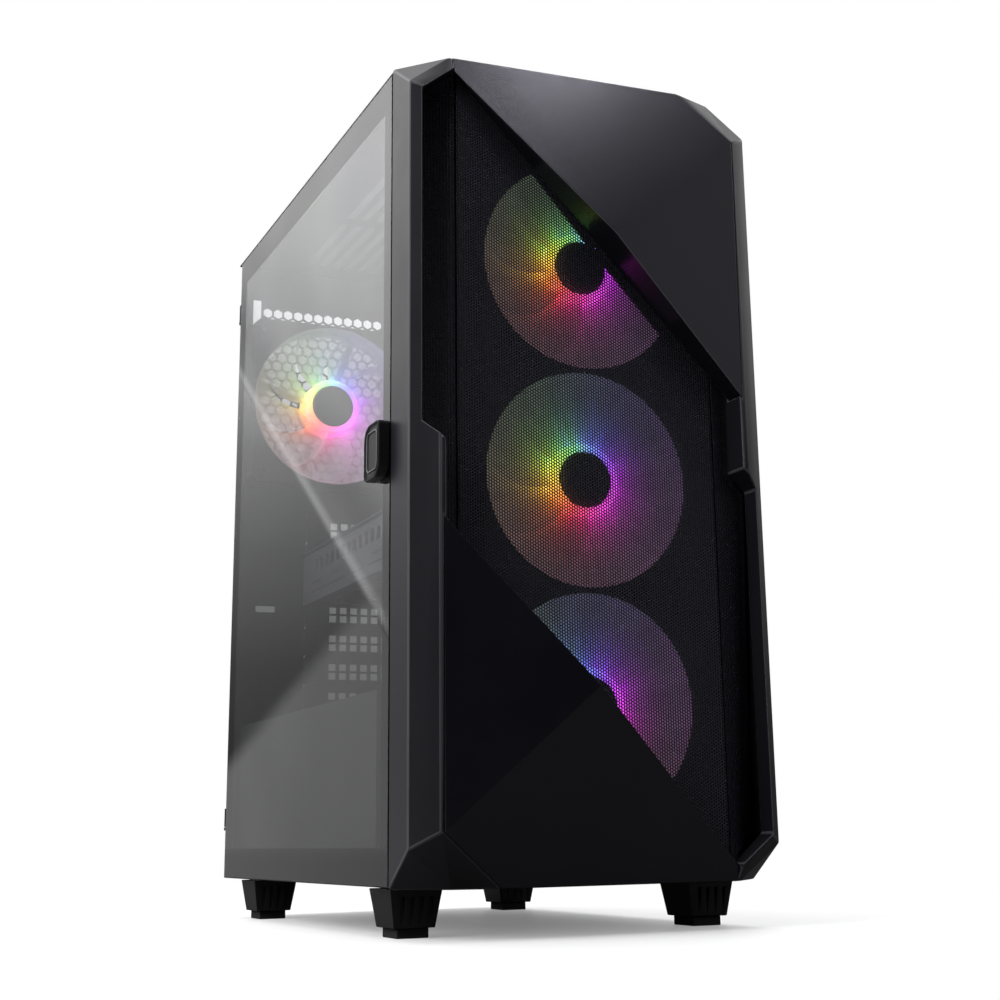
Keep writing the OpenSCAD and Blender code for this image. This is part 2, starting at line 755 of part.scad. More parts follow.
module drive_cage() {
    color("gray") seam() difference() {
        block([-68, 68], [40, 152], [3, 62]);
        block([-70, 70], [41, 151], [4, 61]);
        for (x = [-50, -10, 30]) block([x, x + 22], [30, 160], [14, 50]);
    }
}

module hard_drive() {
    color("silver") seam() {
        block([-73, 74], [45.2, 146.8], [8, 34]);
        for (x = [-60, 54], y = [41, 146.8]) block([x, x + 6], [y, y + 4.2], [16, 22]);
    }
}

// ---------------------------------------------------------------- cables

board_cable = [[79.9, 74, 326], [70, 74, 326], [58, 76, 326], [50, 82, 326], [47, 90, 326],
    [49, 97, 326], [53, 101, 326], [60, 101, 326]];
cpu_cable = [[79.9, 300, 425], [72, 300, 425], [62, 301, 424], [55, 305, 419], [52, 308, 414],
    [53, 310, 409.5], [56, 310, 407.5], [61, 310, 407.5]];

// A flat cable: a box section swept along a list of points.
module cable(route, half) {
    n = len(route);
    along = [for (i = [0:n - 1]) unit(route[min(i + 1, n - 1)] - route[max(i - 1, 0)])];
    side = [for (t = along) unit(cross(t, half[2]))];
    points = [for (i = [0:n - 1]) each [
        for (s = [[-1, -1], [1, -1], [1, 1], [-1, 1]])
            route[i] + s[0] * half[0] * half[2] + s[1] * half[1] * side[i]]];
    faces = [for (i = [0:n - 2], k = [0:3]) each [
        [4 * i + k, 4 * i + (k + 1) % 4, 4 * i + 4 + (k + 1) % 4],
        [4 * i + k, 4 * i + 4 + (k + 1) % 4, 4 * i + 4 + k]]];
    polyhedron(points, concat([[3, 2, 1, 0]], faces, [[4 * n - 4, 4 * n - 3, 4 * n - 2, 4 * n - 1]]));
}

function unit(v) = v / norm(v);

module power_cables() {
    color([0.06, 0.06, 0.06]) seam() {
        cable(board_cable, [23, 2.5, [0, 0, 1]]);
        cable(cpu_cable, [8, 2, [0, 1, 0]]);
    }
}

bottom_pan();
roof_panel();
front_plate();
rear_panel();
motherboard_tray();
psu_shroud();
foot_front_left();
foot_front_right();
foot_rear_left();
foot_rear_right();
foot_pads();
front_frame();
cover_pegs();
facet_upper();
facet_lower();
front_mesh();
door_glass();
door_frame();
door_handle();
handle_bolt();
door_magnets();
hinge_brackets();
side_panel();
side_panel_screws();
top_filter();
top_filter_mesh();
psu_filter();
io_module();
power_button();
reset_button();
usb_ports();
audio_jacks();
fan_top_frame();
fan_top_rotor();
fan_middle_frame();
fan_middle_rotor();
fan_bottom_frame();
fan_bottom_rotor();
fan_rear_frame();
fan_rear_rotor();
rear_fan_screws();
motherboard();
board_standoffs();
io_shield();
memory_sticks();
cooler_heatsink();
cooler_fan_frame();
cooler_rotor();
graphics_board();
graphics_shroud();
graphics_rotor_front();
graphics_rotor_rear();
slot_covers();
psu_case();
psu_rotor();
psu_inlet();
psu_switch();
drive_cage();
hard_drive();
power_cables();
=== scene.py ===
import json
import math
import random

import bmesh
import bpy
import numpy as np
from mathutils import Matrix, Vector

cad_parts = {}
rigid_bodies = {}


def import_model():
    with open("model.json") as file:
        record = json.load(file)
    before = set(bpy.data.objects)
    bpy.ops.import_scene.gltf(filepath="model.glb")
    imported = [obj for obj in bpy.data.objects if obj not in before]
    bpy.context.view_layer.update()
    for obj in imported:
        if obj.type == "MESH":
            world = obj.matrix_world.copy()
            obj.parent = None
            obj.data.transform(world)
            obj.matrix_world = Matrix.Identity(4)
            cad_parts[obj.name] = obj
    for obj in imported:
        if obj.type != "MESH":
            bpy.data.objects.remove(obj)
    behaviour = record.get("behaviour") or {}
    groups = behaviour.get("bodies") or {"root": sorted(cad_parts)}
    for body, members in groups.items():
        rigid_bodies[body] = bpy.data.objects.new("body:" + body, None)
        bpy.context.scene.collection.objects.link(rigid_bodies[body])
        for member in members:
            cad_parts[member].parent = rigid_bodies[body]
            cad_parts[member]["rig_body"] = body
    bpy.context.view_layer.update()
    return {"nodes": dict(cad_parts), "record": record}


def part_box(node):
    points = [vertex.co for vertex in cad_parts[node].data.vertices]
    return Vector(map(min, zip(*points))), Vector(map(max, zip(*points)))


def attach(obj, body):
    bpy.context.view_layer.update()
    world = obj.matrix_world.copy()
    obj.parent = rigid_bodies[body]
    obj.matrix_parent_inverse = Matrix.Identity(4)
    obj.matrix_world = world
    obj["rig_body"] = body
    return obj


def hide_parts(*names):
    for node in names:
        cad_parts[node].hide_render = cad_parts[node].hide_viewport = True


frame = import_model()
random.seed(7)

# Places are in millimetres from the seam point: x from the middle of the case, y back from the
# seam between case and front cover, h up from the bottom of the case.
MM = 0.001
CASE_H = 438.0
REAR_Y = 340.0
FRONT_FAN_Y = -21.0
REAR_FAN_Y = 314.0
FAN_H = (329.0, 209.0, 89.0)
REAR_FAN_X = -35.0
REAR_FAN_H = 329.4
CARD_MID_X = 4.0
CARD_FANS_Y = (160, 268)
SLOT_PITCH = 20.32
GLASS_GAP_Y = 0.8
GLASS_GAP_H = 1.0

glass_low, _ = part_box("door_glass")
_, panel_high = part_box("side_panel")
SEAM = Vector((
    (glass_low.x + panel_high.x) / 2,
    glass_low.y - GLASS_GAP_Y * MM,
    glass_low.z - GLASS_GAP_H * MM,
))


def at(x, y, h):
    """A point of the case, in millimetres from its seam point, in the row frame."""
    return SEAM + Vector((x, y, h)) * MM


# ---------------------------------------------------------------- materials

def start_material(name):
    """A new material with one Principled shader wired to its output."""
    mat = bpy.data.materials.new(name)
    mat.use_nodes = True
    tree = mat.node_tree
    tree.nodes.clear()
    out = tree.nodes.new("ShaderNodeOutputMaterial")
    bsdf = tree.nodes.new("ShaderNodeBsdfPrincipled")
    tree.links.new(bsdf.outputs[0], out.inputs["Surface"])
    return mat, tree, bsdf, out


def place_of(tree, stretch=None):
    """Object coordinates, drawn out along some axes where a stretch is given."""
    coords = tree.nodes.new("ShaderNodeTexCoord")
    if stretch is None:
        return coords.outputs["Object"]
    mapping = tree.nodes.new("ShaderNodeMapping")
    mapping.inputs["Scale"].default_value = stretch
    tree.links.new(coords.outputs["Object"], mapping.inputs["Vector"])
    return mapping.outputs["Vector"]


def noise(tree, place, scale, detail=3.0):
    """A noise texture's value."""
    node = tree.nodes.new("ShaderNodeTexNoise")
    node.inputs["Scale"].default_value = scale
    node.inputs["Detail"].default_value = detail
    node.inputs["Roughness"].default_value = 0.6
    tree.links.new(place, node.inputs["Vector"])
    return node.outputs["Fac"]


def math_node(tree, kind, a, b=None, c=None):
    """A maths node whose inputs are numbers or other nodes' outputs."""
    node = tree.nodes.new("ShaderNodeMath")
    node.operation = kind
    for i, value in enumerate((a, b, c)):
        if value is None:
            continue
        if isinstance(value, (int, float)):
            node.inputs[i].default_value = value
        else:
            tree.links.new(value, node.inputs[i])
    return node.outputs[0]


def ramp(tree, fac, stops, kind="LINEAR"):
    """A colour ramp through (place, colour) stops."""
    node = tree.nodes.new("ShaderNodeValToRGB")
    node.color_ramp.interpolation = kind
    parts = node.color_ramp.elements
    while len(parts) < len(stops):
        parts.new(0.5)
    for part, (spot, colour) in zip(parts, stops):
        part.position = spot
        part.color = (*colour, 1.0)
    tree.links.new(fac, node.inputs["Fac"])
    return node.outputs["Color"]


BROAD = 22.0


def grainy(name, colour, rough, metallic=0.0, scale=1800.0, bump=0.12, depth=0.05,
           mottle=0.16, spread=0.07, stretch=None, coat=0.0, specular=0.5):
    """A solid material with fine grain, soft mottling and an uneven gloss."""
    mat, tree, bsdf, _ = start_material(name)
    place = place_of(tree, stretch)
    fine = noise(tree, place, scale)
    wide = noise(tree, place, BROAD, 4.0)
    both = math_node(tree, "MULTIPLY_ADD", fine, 0.5, math_node(tree, "MULTIPLY", wide, 0.5))
    low = tuple(c * (1 - mottle) for c in colour)
    high = tuple(c * (1 + mottle) for c in colour)
    tree.links.new(ramp(tree, both, [(0.3, low), (0.7, high)]), bsdf.inputs["Base Color"])
    gloss = tree.nodes.new("ShaderNodeMapRange")
    gloss.inputs["To Min"].default_value = max(rough - spread, 0.02)
    gloss.inputs["To Max"].default_value = min(rough + spread, 1.0)
    tree.links.new(wide, gloss.inputs["Value"])
    tree.links.new(gloss.outputs[0], bsdf.inputs["Roughness"])
    height = tree.nodes.new("ShaderNodeBump")
    height.inputs["Strength"].default_value = bump
    height.inputs["Distance"].default_value = depth * MM
    tree.links.new(fine, height.inputs["Height"])
    tree.links.new(height.outputs[0], bsdf.inputs["Normal"])
    bsdf.inputs["Metallic"].default_value = metallic
    bsdf.inputs["Coat Weight"].default_value = coat
    bsdf.inputs["Coat Roughness"].default_value = 0.12
    bsdf.inputs["Specular IOR Level"].default_value = specular
    return mat


def glass_material(name, tint):
    """Clear sheet glass that lets light through for shadows."""
    mat, tree, bsdf, out = start_material(name)
    place = place_of(tree)
    smear = noise(tree, place, 9.0, 3.0)
    clean = tuple(min(c * 1.04, 1.0) for c in tint)
    tree.links.new(ramp(tree, smear, [(0.35, tint), (0.65, clean)]), bsdf.inputs["Base Color"])
    bsdf.inputs["Roughness"].default_value = 0.0
    bsdf.inputs["IOR"].default_value = 1.5
    bsdf.inputs["Transmission Weight"].default_value = 1.0
    clear = tree.nodes.new("ShaderNodeBsdfTransparent")
    clear.inputs["Color"].default_value = (*[c * 0.9 for c in tint], 1.0)
    path = tree.nodes.new("ShaderNodeLightPath")
    mix = tree.nodes.new("ShaderNodeMixShader")
    tree.links.new(path.outputs["Is Shadow Ray"], mix.inputs["Fac"])
    tree.links.new(bsdf.outputs[0], mix.inputs[1])
    tree.links.new(clear.outputs[0], mix.inputs[2])
    tree.links.new(mix.outputs[0], out.inputs["Surface"])
    return mat


# The fans' hues round the hub, in turns from the right, counter-clockwise as seen from the front.
GLOW = [
    (0.00, (0.66, 0.05, 0.95)), (0.07, (0.42, 0.08, 1.00)), (0.14, (0.22, 0.15, 1.00)),
    (0.20, (0.20, 0.32, 1.00)), (0.25, (0.24, 0.62, 0.70)), (0.29, (0.24, 0.78, 0.30)),
    (0.37, (0.40, 0.82, 0.12)), (0.44, (0.72, 0.78, 0.07)), (0.51, (1.00, 0.56, 0.06)),
    (0.58, (1.00, 0.26, 0.04)), (0.66, (1.00, 0.08, 0.09)), (0.74, (1.00, 0.05, 0.34)),
    (0.83, (0.96, 0.06, 0.74)), (1.00, (0.66, 0.05, 0.95)),
]


FAN_REACH = 60.0
PALE_LIGHT = (0.62, 0.60, 0.64, 1.0)
SPOKES = 14.0


def glow_material(name, centre, turn, stops, alpha, base, wash=0.0, power=1.0):
    """Frosted plastic lit from the hub: the hue goes round the hub and fades towards the tips."""
    mat, tree, bsdf, _ = start_material(name)
    coords = tree.nodes.new("ShaderNodeTexCoord")
    shift = tree.nodes.new("ShaderNodeVectorMath")
    shift.operation = "SUBTRACT"
    shift.inputs[1].default_value = centre
    tree.links.new(coords.outputs["Object"], shift.inputs[0])
    split = tree.nodes.new("ShaderNodeSeparateXYZ")
    tree.links.new(shift.outputs[0], split.inputs[0])
    across, up = split.outputs["X"], split.outputs["Z"]
    angle = math_node(tree, "ARCTAN2", up, across)
    fac = math_node(tree, "FRACT", math_node(tree, "MULTIPLY_ADD", angle, 1 / (2 * math.pi), 1.0 + turn))
    hue = ramp(tree, fac, GLOW)
    radius = math_node(tree, "SQRT", math_node(
        tree, "MULTIPLY_ADD", up, up, math_node(tree, "MULTIPLY", across, across)))
    level = ramp(tree, math_node(tree, "DIVIDE", radius, FAN_REACH * MM), [
        (spot / FAN_REACH, (value,) * 3) for spot, value in stops])
    cloud = noise(tree, coords.outputs["Object"], 60.0, 4.0)
    spokes = tree.nodes.new("ShaderNodeCombineXYZ")
    for kind, axis in (("COSINE", "X"), ("SINE", "Y")):
        wave = math_node(tree, "MULTIPLY", math_node(tree, kind, angle), SPOKES)
        tree.links.new(wave, spokes.inputs[axis])
    tree.links.new(math_node(tree, "MULTIPLY", radius, 12.0), spokes.inputs["Z"])
    streak = noise(tree, spokes.outputs[0], 1.0, 3.0)
    haze = math_node(tree, "MULTIPLY_ADD", cloud, 0.7, math_node(tree, "MULTIPLY_ADD", streak, 0.9, 0.2))
    strength = math_node(tree, "MULTIPLY", math_node(tree, "MULTIPLY", level, haze), power)
    pale = tree.nodes.new("ShaderNodeMix")
    pale.data_type = "RGBA"
    fade = ramp(tree, math_node(tree, "DIVIDE", radius, FAN_REACH * MM), [
        (0.40, (0.0,) * 3), (0.85, (wash,) * 3)])
    tree.links.new(fade, pale.inputs["Factor"])
    tree.links.new(hue, pale.inputs["A"])
    pale.inputs["B"].default_value = PALE_LIGHT
    tree.links.new(pale.outputs["Result"], bsdf.inputs["Emission Color"])
    tree.links.new(strength, bsdf.inputs["Emission Strength"])
    grey = tuple(c * 0.8 for c in base)
    tree.links.new(ramp(tree, cloud, [(0.3, grey), (0.7, base)]), bsdf.inputs["Base Color"])
    bsdf.inputs["Roughness"].default_value = 0.38
    bsdf.inputs["Alpha"].default_value = alpha
    return mat


STEEL = grainy("steel_black", (0.010, 0.010, 0.011), 0.42, scale=1500, bump=0.25, mottle=0.10)
FRAME = grainy("plastic_frame", (0.008, 0.008, 0.0105), 0.38, scale=2400, bump=0.15, mottle=0.14)
FACET = grainy("plastic_facet", (0.005, 0.005, 0.0075), 0.23, scale=1000, bump=0.55, mottle=0.30,
               spread=0.04)
# Lighter grey given to rounded edges: painted highlight lines where the edges catch the light.
EDGE_HIGHLIGHT = grainy("painted_edge_highlight", (0.045, 0.045, 0.050), 0.30, scale=1500, bump=0.1)
# Lighter grey for the line round the door handle's face: a painted highlight.
EDGE = grainy("painted_highlight_line", (0.10, 0.10, 0.11), 0.34, scale=1500, bump=0.1)
PLASTIC = grainy("plastic_black", (0.007, 0.007, 0.008), 0.42, scale=2000, bump=0.22)
RUBBER = grainy("rubber_pad", (0.014, 0.014, 0.014), 0.75, scale=1300, bump=0.4, specular=0.3)
MESH = grainy("mesh_steel", (0.020, 0.020, 0.028), 0.42, scale=1500, bump=0.2)
BORDER = grainy("glass_border", (0.008, 0.008, 0.009), 0.16, scale=1400, bump=0.05, spread=0.04)
SCREW = grainy("screw_steel", (0.40, 0.40, 0.41), 0.28, metallic=1.0, scale=900, bump=0.15,
               stretch=(1.0, 1.0, 8.0))
DARK_SCREW = grainy("screw_black", (0.03, 0.03, 0.032), 0.32, metallic=0.6, scale=900, bump=0.15)
NET = grainy("filter_mesh", (0.016, 0.016, 0.017), 0.55, scale=2600, bump=0.3)
BUTTON = grainy("plastic_button", (0.018, 0.018, 0.020), 0.22, scale=2600, bump=0.06, coat=0.3)
FAN_BLACK = grainy("fan_black", (0.007, 0.007, 0.008), 0.42, scale=1700, bump=0.22)
FAN_DARK = grainy("fan_dark", (0.020, 0.020, 0.022), 0.30, scale=1900, bump=0.12)
HUB = grainy("fan_hub", (0.010, 0.010, 0.012), 0.38, scale=1900, bump=0.12)
BOARD = grainy("circuit_board", (0.024, 0.034, 0.038), 0.35, scale=700, bump=0.2, coat=0.4)
BRASS = grainy("brass_post", (0.60, 0.42, 0.16), 0.30, metallic=1.0, scale=900)
PORT = grainy("port_steel", (0.42, 0.42, 0.44), 0.30, metallic=1.0, scale=1200, bump=0.1,
              stretch=(1.0, 1.0, 12.0))
SPREADER = grainy("heat_spreader", (0.075, 0.075, 0.080), 0.34, metallic=0.7, scale=1600)
FINS = grainy("cooler_fins", (0.62, 0.62, 0.63), 0.28, metallic=1.0, scale=1100, bump=0.1,
              stretch=(1.0, 14.0, 1.0))
COPPER = grainy("heat_pipe", (0.55, 0.36, 0.27), 0.25, metallic=1.0, scale=1100)
SHROUD = grainy("plastic_shroud", (0.050, 0.050, 0.054), 0.36, scale=2100, bump=0.16)
DRIVE = grainy("drive_metal", (0.44, 0.44, 0.46), 0.34, metallic=0.9, scale=1300, bump=0.2)
SLEEVE = grainy("cable_sleeve", (0.034, 0.034, 0.038), 0.6, scale=2600, bump=0.6, depth=0.15,
                stretch=(1.0, 1.0, 0.4))
BLUE = grainy("port_blue", (0.02, 0.12, 0.45), 0.4, scale=1900)
CHIP = grainy("chip_case", (0.030, 0.030, 0.032), 0.5, scale=2400, bump=0.3)
CAP_TOP = grainy("capacitor_top", (0.5, 0.5, 0.52), 0.3, metallic=1.0, scale=1100)
GLASS = glass_material("tinted_glass", (0.72, 0.73, 0.75))

SLOT_MATERIAL = {
    "steel_black": STEEL, "plastic_black": PLASTIC, "rubber_pad": RUBBER, "plastic_frame": FRAME,
    "plastic_facet": FACET, "mesh_steel": MESH, "tinted_glass": GLASS, "glass_border": BORDER,
    "screw_steel": SCREW, "filter_mesh": NET, "plastic_button": BUTTON, "fan_black": FAN_BLACK,
    "fan_blades": FAN_DARK, "fan_dark": FAN_DARK, "circuit_board": BOARD, "brass_post": BRASS,
    "port_steel": PORT, "heat_spreader": SPREADER, "cooler_fins": FINS, "plastic_shroud": SHROUD,
    "drive_metal": DRIVE, "cable_sleeve": SLEEVE,
}
NODE_SLOT = {part["node"]: part["material_slot"] for part in frame["record"]["subparts"]}
for node_name, node_object in frame["nodes"].items():
    for holder in node_object.material_slots:
        holder.link = "OBJECT"
        holder.material = SLOT_MATERIAL[NODE_SLOT[node_name]]


# ---------------------------------------------------------------- mesh helpers

SHARP = 30.0


def finish_piece(obj, body, mat, slot, replaces=(), smooth=None, bevel=0.0):
    """Gives an object its material, its soft edges and its place in the frame."""
    obj.data.materials.clear()
    obj.data.materials.append(mat)
    if smooth is not None:
        for face in obj.data.polygons:
            face.use_smooth = True
        obj.data.set_sharp_from_angle(angle=math.radians(smooth))
    if bevel:
        edge = obj.modifiers.new("edge", "BEVEL")
        edge.width = bevel * MM
        edge.segments = 2
        edge.limit_method = "ANGLE"
        edge.angle_limit = math.radians(SHARP)
        edge.use_clamp_overlap = False
        edge.harden_normals = True
    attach(obj, body)
    if replaces:
        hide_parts(*replaces)


def add_object(name, verts, faces):
    """A new mesh object in the scene."""
    mesh = bpy.data.meshes.new(name)
    mesh.from_pydata(verts, [], faces)
    mesh.validate()
    obj = bpy.data.objects.new(name, mesh)
    bpy.context.scene.collection.objects.link(obj)
    return obj


def shaped(node, width, edge_mat=None):
    """A copy of a CAD node with its edges rounded, which stands for the node."""
    source = frame["nodes"][node]
    mesh = source.data.copy()
    obj = bpy.data.objects.new(node + "_shaped", mesh)
    bpy.context.scene.collection.objects.link(obj)
    bm = bmesh.new()
    bm.from_mesh(mesh)
    bmesh.ops.remove_doubles(bm, verts=bm.verts, dist=MM / 1000)
    bmesh.ops.dissolve_limit(bm, angle_limit=math.radians(0.4), verts=bm.verts, edges=bm.edges)
    bm.to_mesh(mesh)
    bm.free()
    slot = NODE_SLOT[node]
    finish_piece(obj, source["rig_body"], SLOT_MATERIAL[slot], slot, [node], smooth=SHARP, bevel=width)
    # The rounded edges take edge_mat; a lighter one paints highlight lines along them.
    if edge_mat:
        mesh.materials.append(edge_mat)
        obj.modifiers["edge"].material = 1


class Shape:
    """Collects solids given in millimetres from the seam point, and builds them as one mesh."""

    def __init__(self):
        self.verts = []
        self.faces = []

    def add(self, verts, faces, place=None):
        base = len(self.verts)
        for v in verts:
            v = Vector(v)
            self.verts.append(place @ v if place else v)
        self.faces.extend([tuple(base + i for i in face) for face in faces])
        return self

    def box(self, x, y, z, place=None):
        """A box between pairs of limits."""
        verts = [(a, b, c) for c in z for b in y for a in x]
        faces = [(0, 2, 3, 1), (4, 5, 7, 6), (0, 1, 5, 4), (2, 6, 7, 3), (0, 4, 6, 2), (1, 3, 7, 5)]
        return self.add(verts, faces, place)

    def lathe(self, profile, place, steps=48):
        """Turns a closed profile of (radius, z) points around z; radius 0 only at its ends."""
        rings, verts, faces = [], [], []
        for r, z in profile:
            if r < 1e-6:
                rings.append([len(verts)])
                verts.append((0, 0, z))
            else:
                rings.append([len(verts) + i for i in range(steps)])
                turns = [2 * math.pi * i / steps for i in range(steps)]
                verts += [(r * math.cos(a), r * math.sin(a), z) for a in turns]
        closed = len(rings[0]) > 1
        pairs = list(zip(rings, rings[1:] + ([rings[0]] if closed else [])))
        if not closed:
            pairs = pairs[:len(rings) - 1]
        for a, b in pairs:
            for i in range(steps):
                j = (i + 1) % steps
                if len(a) == 1:
                    faces.append((a[0], b[i], b[j]))
                elif len(b) == 1:
                    faces.append((a[i], b[0], a[j]))
                else:
                    faces.append((a[i], b[i], b[j], a[j]))
        return self.add(verts, faces, place)

    def prism(self, outline, z0, z1, place=None):
        """A flat outline drawn out along z."""
        n = len(outline)
        verts = [(u, v, z0) for u, v in outline] + [(u, v, z1) for u, v in outline]
        faces = [tuple(reversed(range(n))), tuple(range(n, 2 * n))]
        faces += [(i, (i + 1) % n, n + (i + 1) % n, n + i) for i in range(n)]
        return self.add(verts, faces, place)

    def tube(self, path, radius, steps):
        """A round rod along a path, whose cross-section doesn't twist."""
        points = [Vector(p) for p in path]
        side = None
        verts, faces = [], []
        for i, p in enumerate(points):
            along = (points[min(i + 1, len(points) - 1)] - points[max(i - 1, 0)]).normalized()
            if side is None:
                pick = Vector((0, 0, 1)) if abs(along.z) < 0.9 else Vector((1, 0, 0))
                side = along.cross(pick).normalized()
            side = (side - along * side.dot(along)).normalized()
            other = along.cross(side)
            for k in range(steps):
                a = 2 * math.pi * k / steps
                verts.append(p + side * (radius * math.cos(a)) + other * (radius * math.sin(a)))
        for i in range(len(points) - 1):
            for k in range(steps):
                m = (k + 1) % steps
                faces.append((i * steps + k, i * steps + m, (i + 1) * steps + m, (i + 1) * steps + k))
        faces.append(tuple(reversed(range(steps))))
        faces.append(tuple(range((len(points) - 1) * steps, len(points) * steps)))
        return self.add(verts, faces)

    def build(self, name, body, mat, **options):
        """Makes the mesh, with its faces turned outwards, and finishes it."""
        obj = add_object(name, [SEAM + v * MM for v in self.verts], self.faces)
        bm = bmesh.new()
        bm.from_mesh(obj.data)
        bmesh.ops.recalc_face_normals(bm, faces=bm.faces)
        bm.to_mesh(obj.data)
        bm.free()
        finish_piece(obj, body, mat, **options)


def placed(origin, ex, ey, ez):
    """A matrix that takes local axes to the case's."""
    columns = Matrix((ex, ey, ez)).transposed().to_4x4()
    return Matrix.Translation(Vector(origin)) @ columns


def facing_y(x, y, h):
    """Local z points to the rear."""
    return placed((x, y, h), (1, 0, 0), (0, 0, -1), (0, 1, 0))


def facing_x(x, y, h):
    """Local z points to the right panel."""
    return placed((x, y, h), (0, 0, -1), (0, 1, 0), (1, 0, 0))


def facing_z(x, y, h):
    """Local z points up."""
    return placed((x, y, h), (1, 0, 0), (0, 1, 0), (0, 0, 1))


def facing_door(x, y, h):
    """Local z points to the glass door."""
    return placed((x, y, h), (0, 1, 0), (0, 0, 1), (-1, 0, 0))


def smooth_path(points, count):
    """A Catmull-Rom curve through the points."""
    pts = [Vector(p) for p in points]
    pts = [2 * pts[0] - pts[1]] + pts + [2 * pts[-1] - pts[-2]]
    out = []
    spans = len(pts) - 3
    for k in range(count + 1):
        t = k / count * spans
        i = min(int(t), spans - 1)
        u = t - i
        a, b, c, d = pts[i:i + 4]
        out.append(0.5 * (2 * b + (c - a) * u + (2 * a - 5 * b + 4 * c - d) * u * u
                          + (3 * b - a - 3 * c + d) * u ** 3))
    return out


# ---------------------------------------------------------------- front cover

# The front frame's and upper facet's rounded edges get the lighter edge grey: painted highlight lines.
shaped("front_frame", 0.9, edge_mat=EDGE_HIGHLIGHT)
shaped("facet_upper", 0.6, edge_mat=EDGE_HIGHLIGHT)
shaped("facet_lower", 0.6)


def inside(x, h, outline):
    """True where a point lies inside a closed outline."""
    hit = np.zeros(x.shape, bool)
    n = len(outline)
    for i in range(n):
        x0, h0 = outline[i]
        x1, h1 = outline[(i + 1) % n]
        if h0 == h1:
            continue
        cross = ((h0 > h) != (h1 > h)) & (x < (x1 - x0) * (h - h0) / (h1 - h0) + x0)
        hit ^= cross
    return hit


WINDOW = [(-98.5, 230), (-98.5, 414.4), (-80.4, 429.6), (60, 429.6), (87.8, 406.6), (87.8, 218)]
WINDOW += [(-x, CASE_H - h) for x, h in WINDOW]
FACET_EDGE = [(-58, 424), (12, 344), (83, 268)]
FACET_COVER = [FACET_EDGE[0], (57.8, 424), (82, 404), FACET_EDGE[2], FACET_EDGE[1]]
MESH_Y = -24.0
MESH_THICK = 0.8
HOLE_PITCH = 1.66
HOLE = 0.72
PLAIN_HOLE = 0.06
PLAIN_MARGIN = 3.2
FOLD_X = 76.0
FOLD_GAP = 0.72
WING = 21.2
CURVE_LOW, CURVE_HIGH = 25, 259
WALL_Y = -18.5
CURVE_RISE = 0.017
CURVE_BEND = 0.0001555
BACKING_WIDTH = 9.0
BACKING_Y = (MESH_Y + 1.1, MESH_Y + 2.3)


def near_edge(x, h, outline, width):
    """True where a point lies within some width of a closed outline."""
    near = np.zeros(x.shape, bool)
    for (x0, h0), (x1, h1) in zip(outline, outline[1:] + outline[:1]):
        dx, dh = x1 - x0, h1 - h0
        t = np.clip(((x - x0) * dx + (h - h0) * dh) / (dx * dx + dh * dh), 0, 1)
        near |= np.hypot(x - x0 - t * dx, h - h0 - t * dh) < width
    return near


def mesh_depth(x, h):
    """How far back the mesh is at a point: flat in the middle, curving back towards the walls."""
    def right(x, h):
        drop = CURVE_HIGH - np.clip(h, CURVE_LOW, CURVE_HIGH)
        wall = WALL_Y + CURVE_RISE * drop + CURVE_BEND * drop ** 2
        t = np.clip((x - FOLD_X) / WING, 0, 1)
        return MESH_Y + (wall - MESH_Y) * t
    return np.where(x > 0, right(x, h), right(-x, CASE_H - h))


